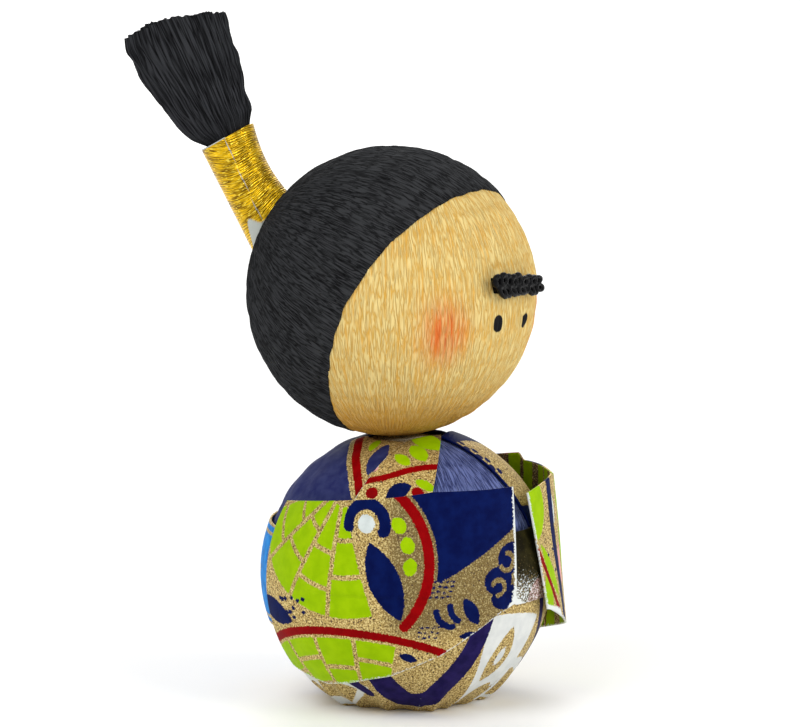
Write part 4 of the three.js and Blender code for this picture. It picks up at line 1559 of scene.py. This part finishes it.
# Its two colours are the painted lit ridge and the painted shaded valley.
finish_piece(chest, "blue_crepe", dyed_crepe("crepe_paper_dyed_blue", "#6c78b0", "#1c2554", 4.0), "chest")

# %% [markdown]
# The collar and the lapel are two strips of the sleeves' washi, laid crosswise from the neck over the
# chest, each a little narrower at its foot. The sash is a strip of bright blue washi round the back of
# the waist. A strip is stretched between its four corners over the ball, as paper is smoothed down.

# %% Collar, lapel and sash
OVER_WRAP = 20.35
COLLAR_CORNERS = [(50, 33), (88, 33), (3, 74), (61, 71)]
LAPEL_CORNERS = [(-42, 24), (-4, 22), (-48, 71), (9, 73)]
SASH_END, SASH_FOOT, SASH_TOP = 112, -19.5, 21
COLLAR_LIME = [
    ((-9.5, -3.5), (-10.5, -6.5), 1.8), ((-8.5, -8), (-6.5, -4.5), 2.5), ((-5, -8), (-3, -3), 4),
    ((-12.5, -8.5), (-12, -12), 1.6),
]
COLLAR_RED, COLLAR_RED_WIDE = [(-16, -0.5), (-14, -4.5), (-8, -10)], 1.1
COLLAR_DROPS, COLLAR_DROP = [(-17, -3.5), (-14, -10)], (0.9, 1)
COLLAR_NAVY = ((-17, -6), (-13.5, -8.5), 2.5)
COLLAR_PINK = (-13, -2, 0.6, 0.5)
LAPEL_GOLD = [(-4, -8), (16, -9), (16, -21), (-4, -21)]
LAPEL_WIDE, LAPEL_LONG = 10, 17
LAPEL_DOTS, LAPEL_DOT = [(9 + 0.4 * (-1) ** i, 15 - i) for i in range(8)], (0.55, 0.5)
LAPEL_SHADE_FROM = 0.965
SASH_RIM, SASH_LINE, SASH_LINE_IN = 0.35, 0.22, 1.3
SASH_DOT, SASH_DOT_STEP, SASH_DOT_UP = 0.55, 6, 0.6


def strip(name, corners, columns, rows):
    """A paper between four corners, given as turn and rise: low ends first, then high ends."""
    low_end, low_start, high_end, high_start = [direction(*corner) for corner in corners]

    def ways(across, up):
        across, up = across[:, None], up[:, None]
        return unit(mix(mix(low_end, low_start, across), mix(high_end, high_start, across), up))

    def place(across, up):
        return on_body(ways(across, up), OVER_WRAP)

    piece, across, up = sheet(name, np.linspace(0, 1, columns), np.linspace(0, 1, rows), place)
    points = from_neck(ways(across, up))
    lay_uv(piece, points[:, 0], points[:, 1])
    return piece, points, across, up


def collar_right():
    piece, points, across, _ = strip("collar_right_washi", COLLAR_CORNERS, 80, 80)
    red_line = stroke(points, COLLAR_RED, COLLAR_RED_WIDE)
    note_all(piece, {
        "lime": leaves(points, COLLAR_LIME),
        "navy": leaf(points, *COLLAR_NAVY),
        "red": union(red_line, specks(points, COLLAR_DROPS, *COLLAR_DROP)),
        "pink": spot(points, *COLLAR_PINK),
        "white": NO_INK,
        "flap_shade": NO_INK,
        # Near the neck, under the head, the collar's gold is painted darker, as painted shade.
        "dull_and_shade": smooth(np.hypot(*points.T), 12, 5),
        "wear_and_glints": 0.02 - (1 - across) * 12,
    })
    thicken(piece, PAPER, 1)
    return piece


def lapel_left():
    piece, points, across, up = strip("lapel_left_washi", LAPEL_CORNERS, 70, 74)
    marks = specks(np.stack([across * LAPEL_WIDE, up * LAPEL_LONG], -1), LAPEL_DOTS, *LAPEL_DOT)
    # Along the edge that meets the chest a navy strip is painted shade.
    note(piece, "navy", union(-area(points, LAPEL_GOLD), marks, (across - LAPEL_SHADE_FROM) * 12))
    for ink in ("lime", "red", "pink", "white", "flap_shade", "wear_and_glints"):
        note(piece, ink, NO_INK)
    note(piece, "dull_and_shade", 0.2)
    thicken(piece, PAPER, 1)
    return piece


def sash():
    turns = np.linspace(SASH_END, 360 - SASH_END, 150)

    def place(turn, rise):
        return on_body(direction(turn, rise), OVER_WRAP)

    piece, turn, rise = sheet("sash_washi", turns, np.linspace(SASH_FOOT, SASH_TOP, 50), place)
    along, height = (turn - 180) * OVER_MM, rise * OVER_MM
    lay_uv(piece, along, height)
    to_edge = np.minimum(height - SASH_FOOT * OVER_MM, SASH_TOP * OVER_MM - height)
    to_end = (180 - SASH_END) * OVER_MM - np.abs(along)
    rim = SASH_RIM - np.minimum(to_edge, to_end)
    line = SASH_LINE - np.abs(to_edge - SASH_LINE_IN)
    half = SASH_DOT_STEP / 2
    gold_dots = SASH_DOT - np.hypot((along + half) % SASH_DOT_STEP - half, height - SASH_DOT_UP)
    note_all(piece, {"blue": -union(rim, line, gold_dots), "dull_and_shade": 0.1, "wear_and_glints": NO_INK})
    thicken(piece, PAPER, 1)
    return piece


collar_piece = collar_right()
finish_piece(collar_piece, "collar_paper", sleeve_print, "collar_right")
lapel_piece = lapel_left()
finish_piece(lapel_piece, "collar_paper", sleeve_print, "lapel_left")
sash_piece = sash()
SASH_INKS = {"blue": ("#1470bd", "#2390e2")}
finish_piece(sash_piece, "sash_paper", printed_washi("washi_bright_blue", SASH_INKS), "sash")

# %% Sizes
size = {"cad": [list(corner) for corner in cad_box], "visual": [list(corner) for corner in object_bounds()]}
for name, box in size.items():
    print(name, "box in mm:", [round((high - low) / MM, 1) for low, high in zip(*box)])
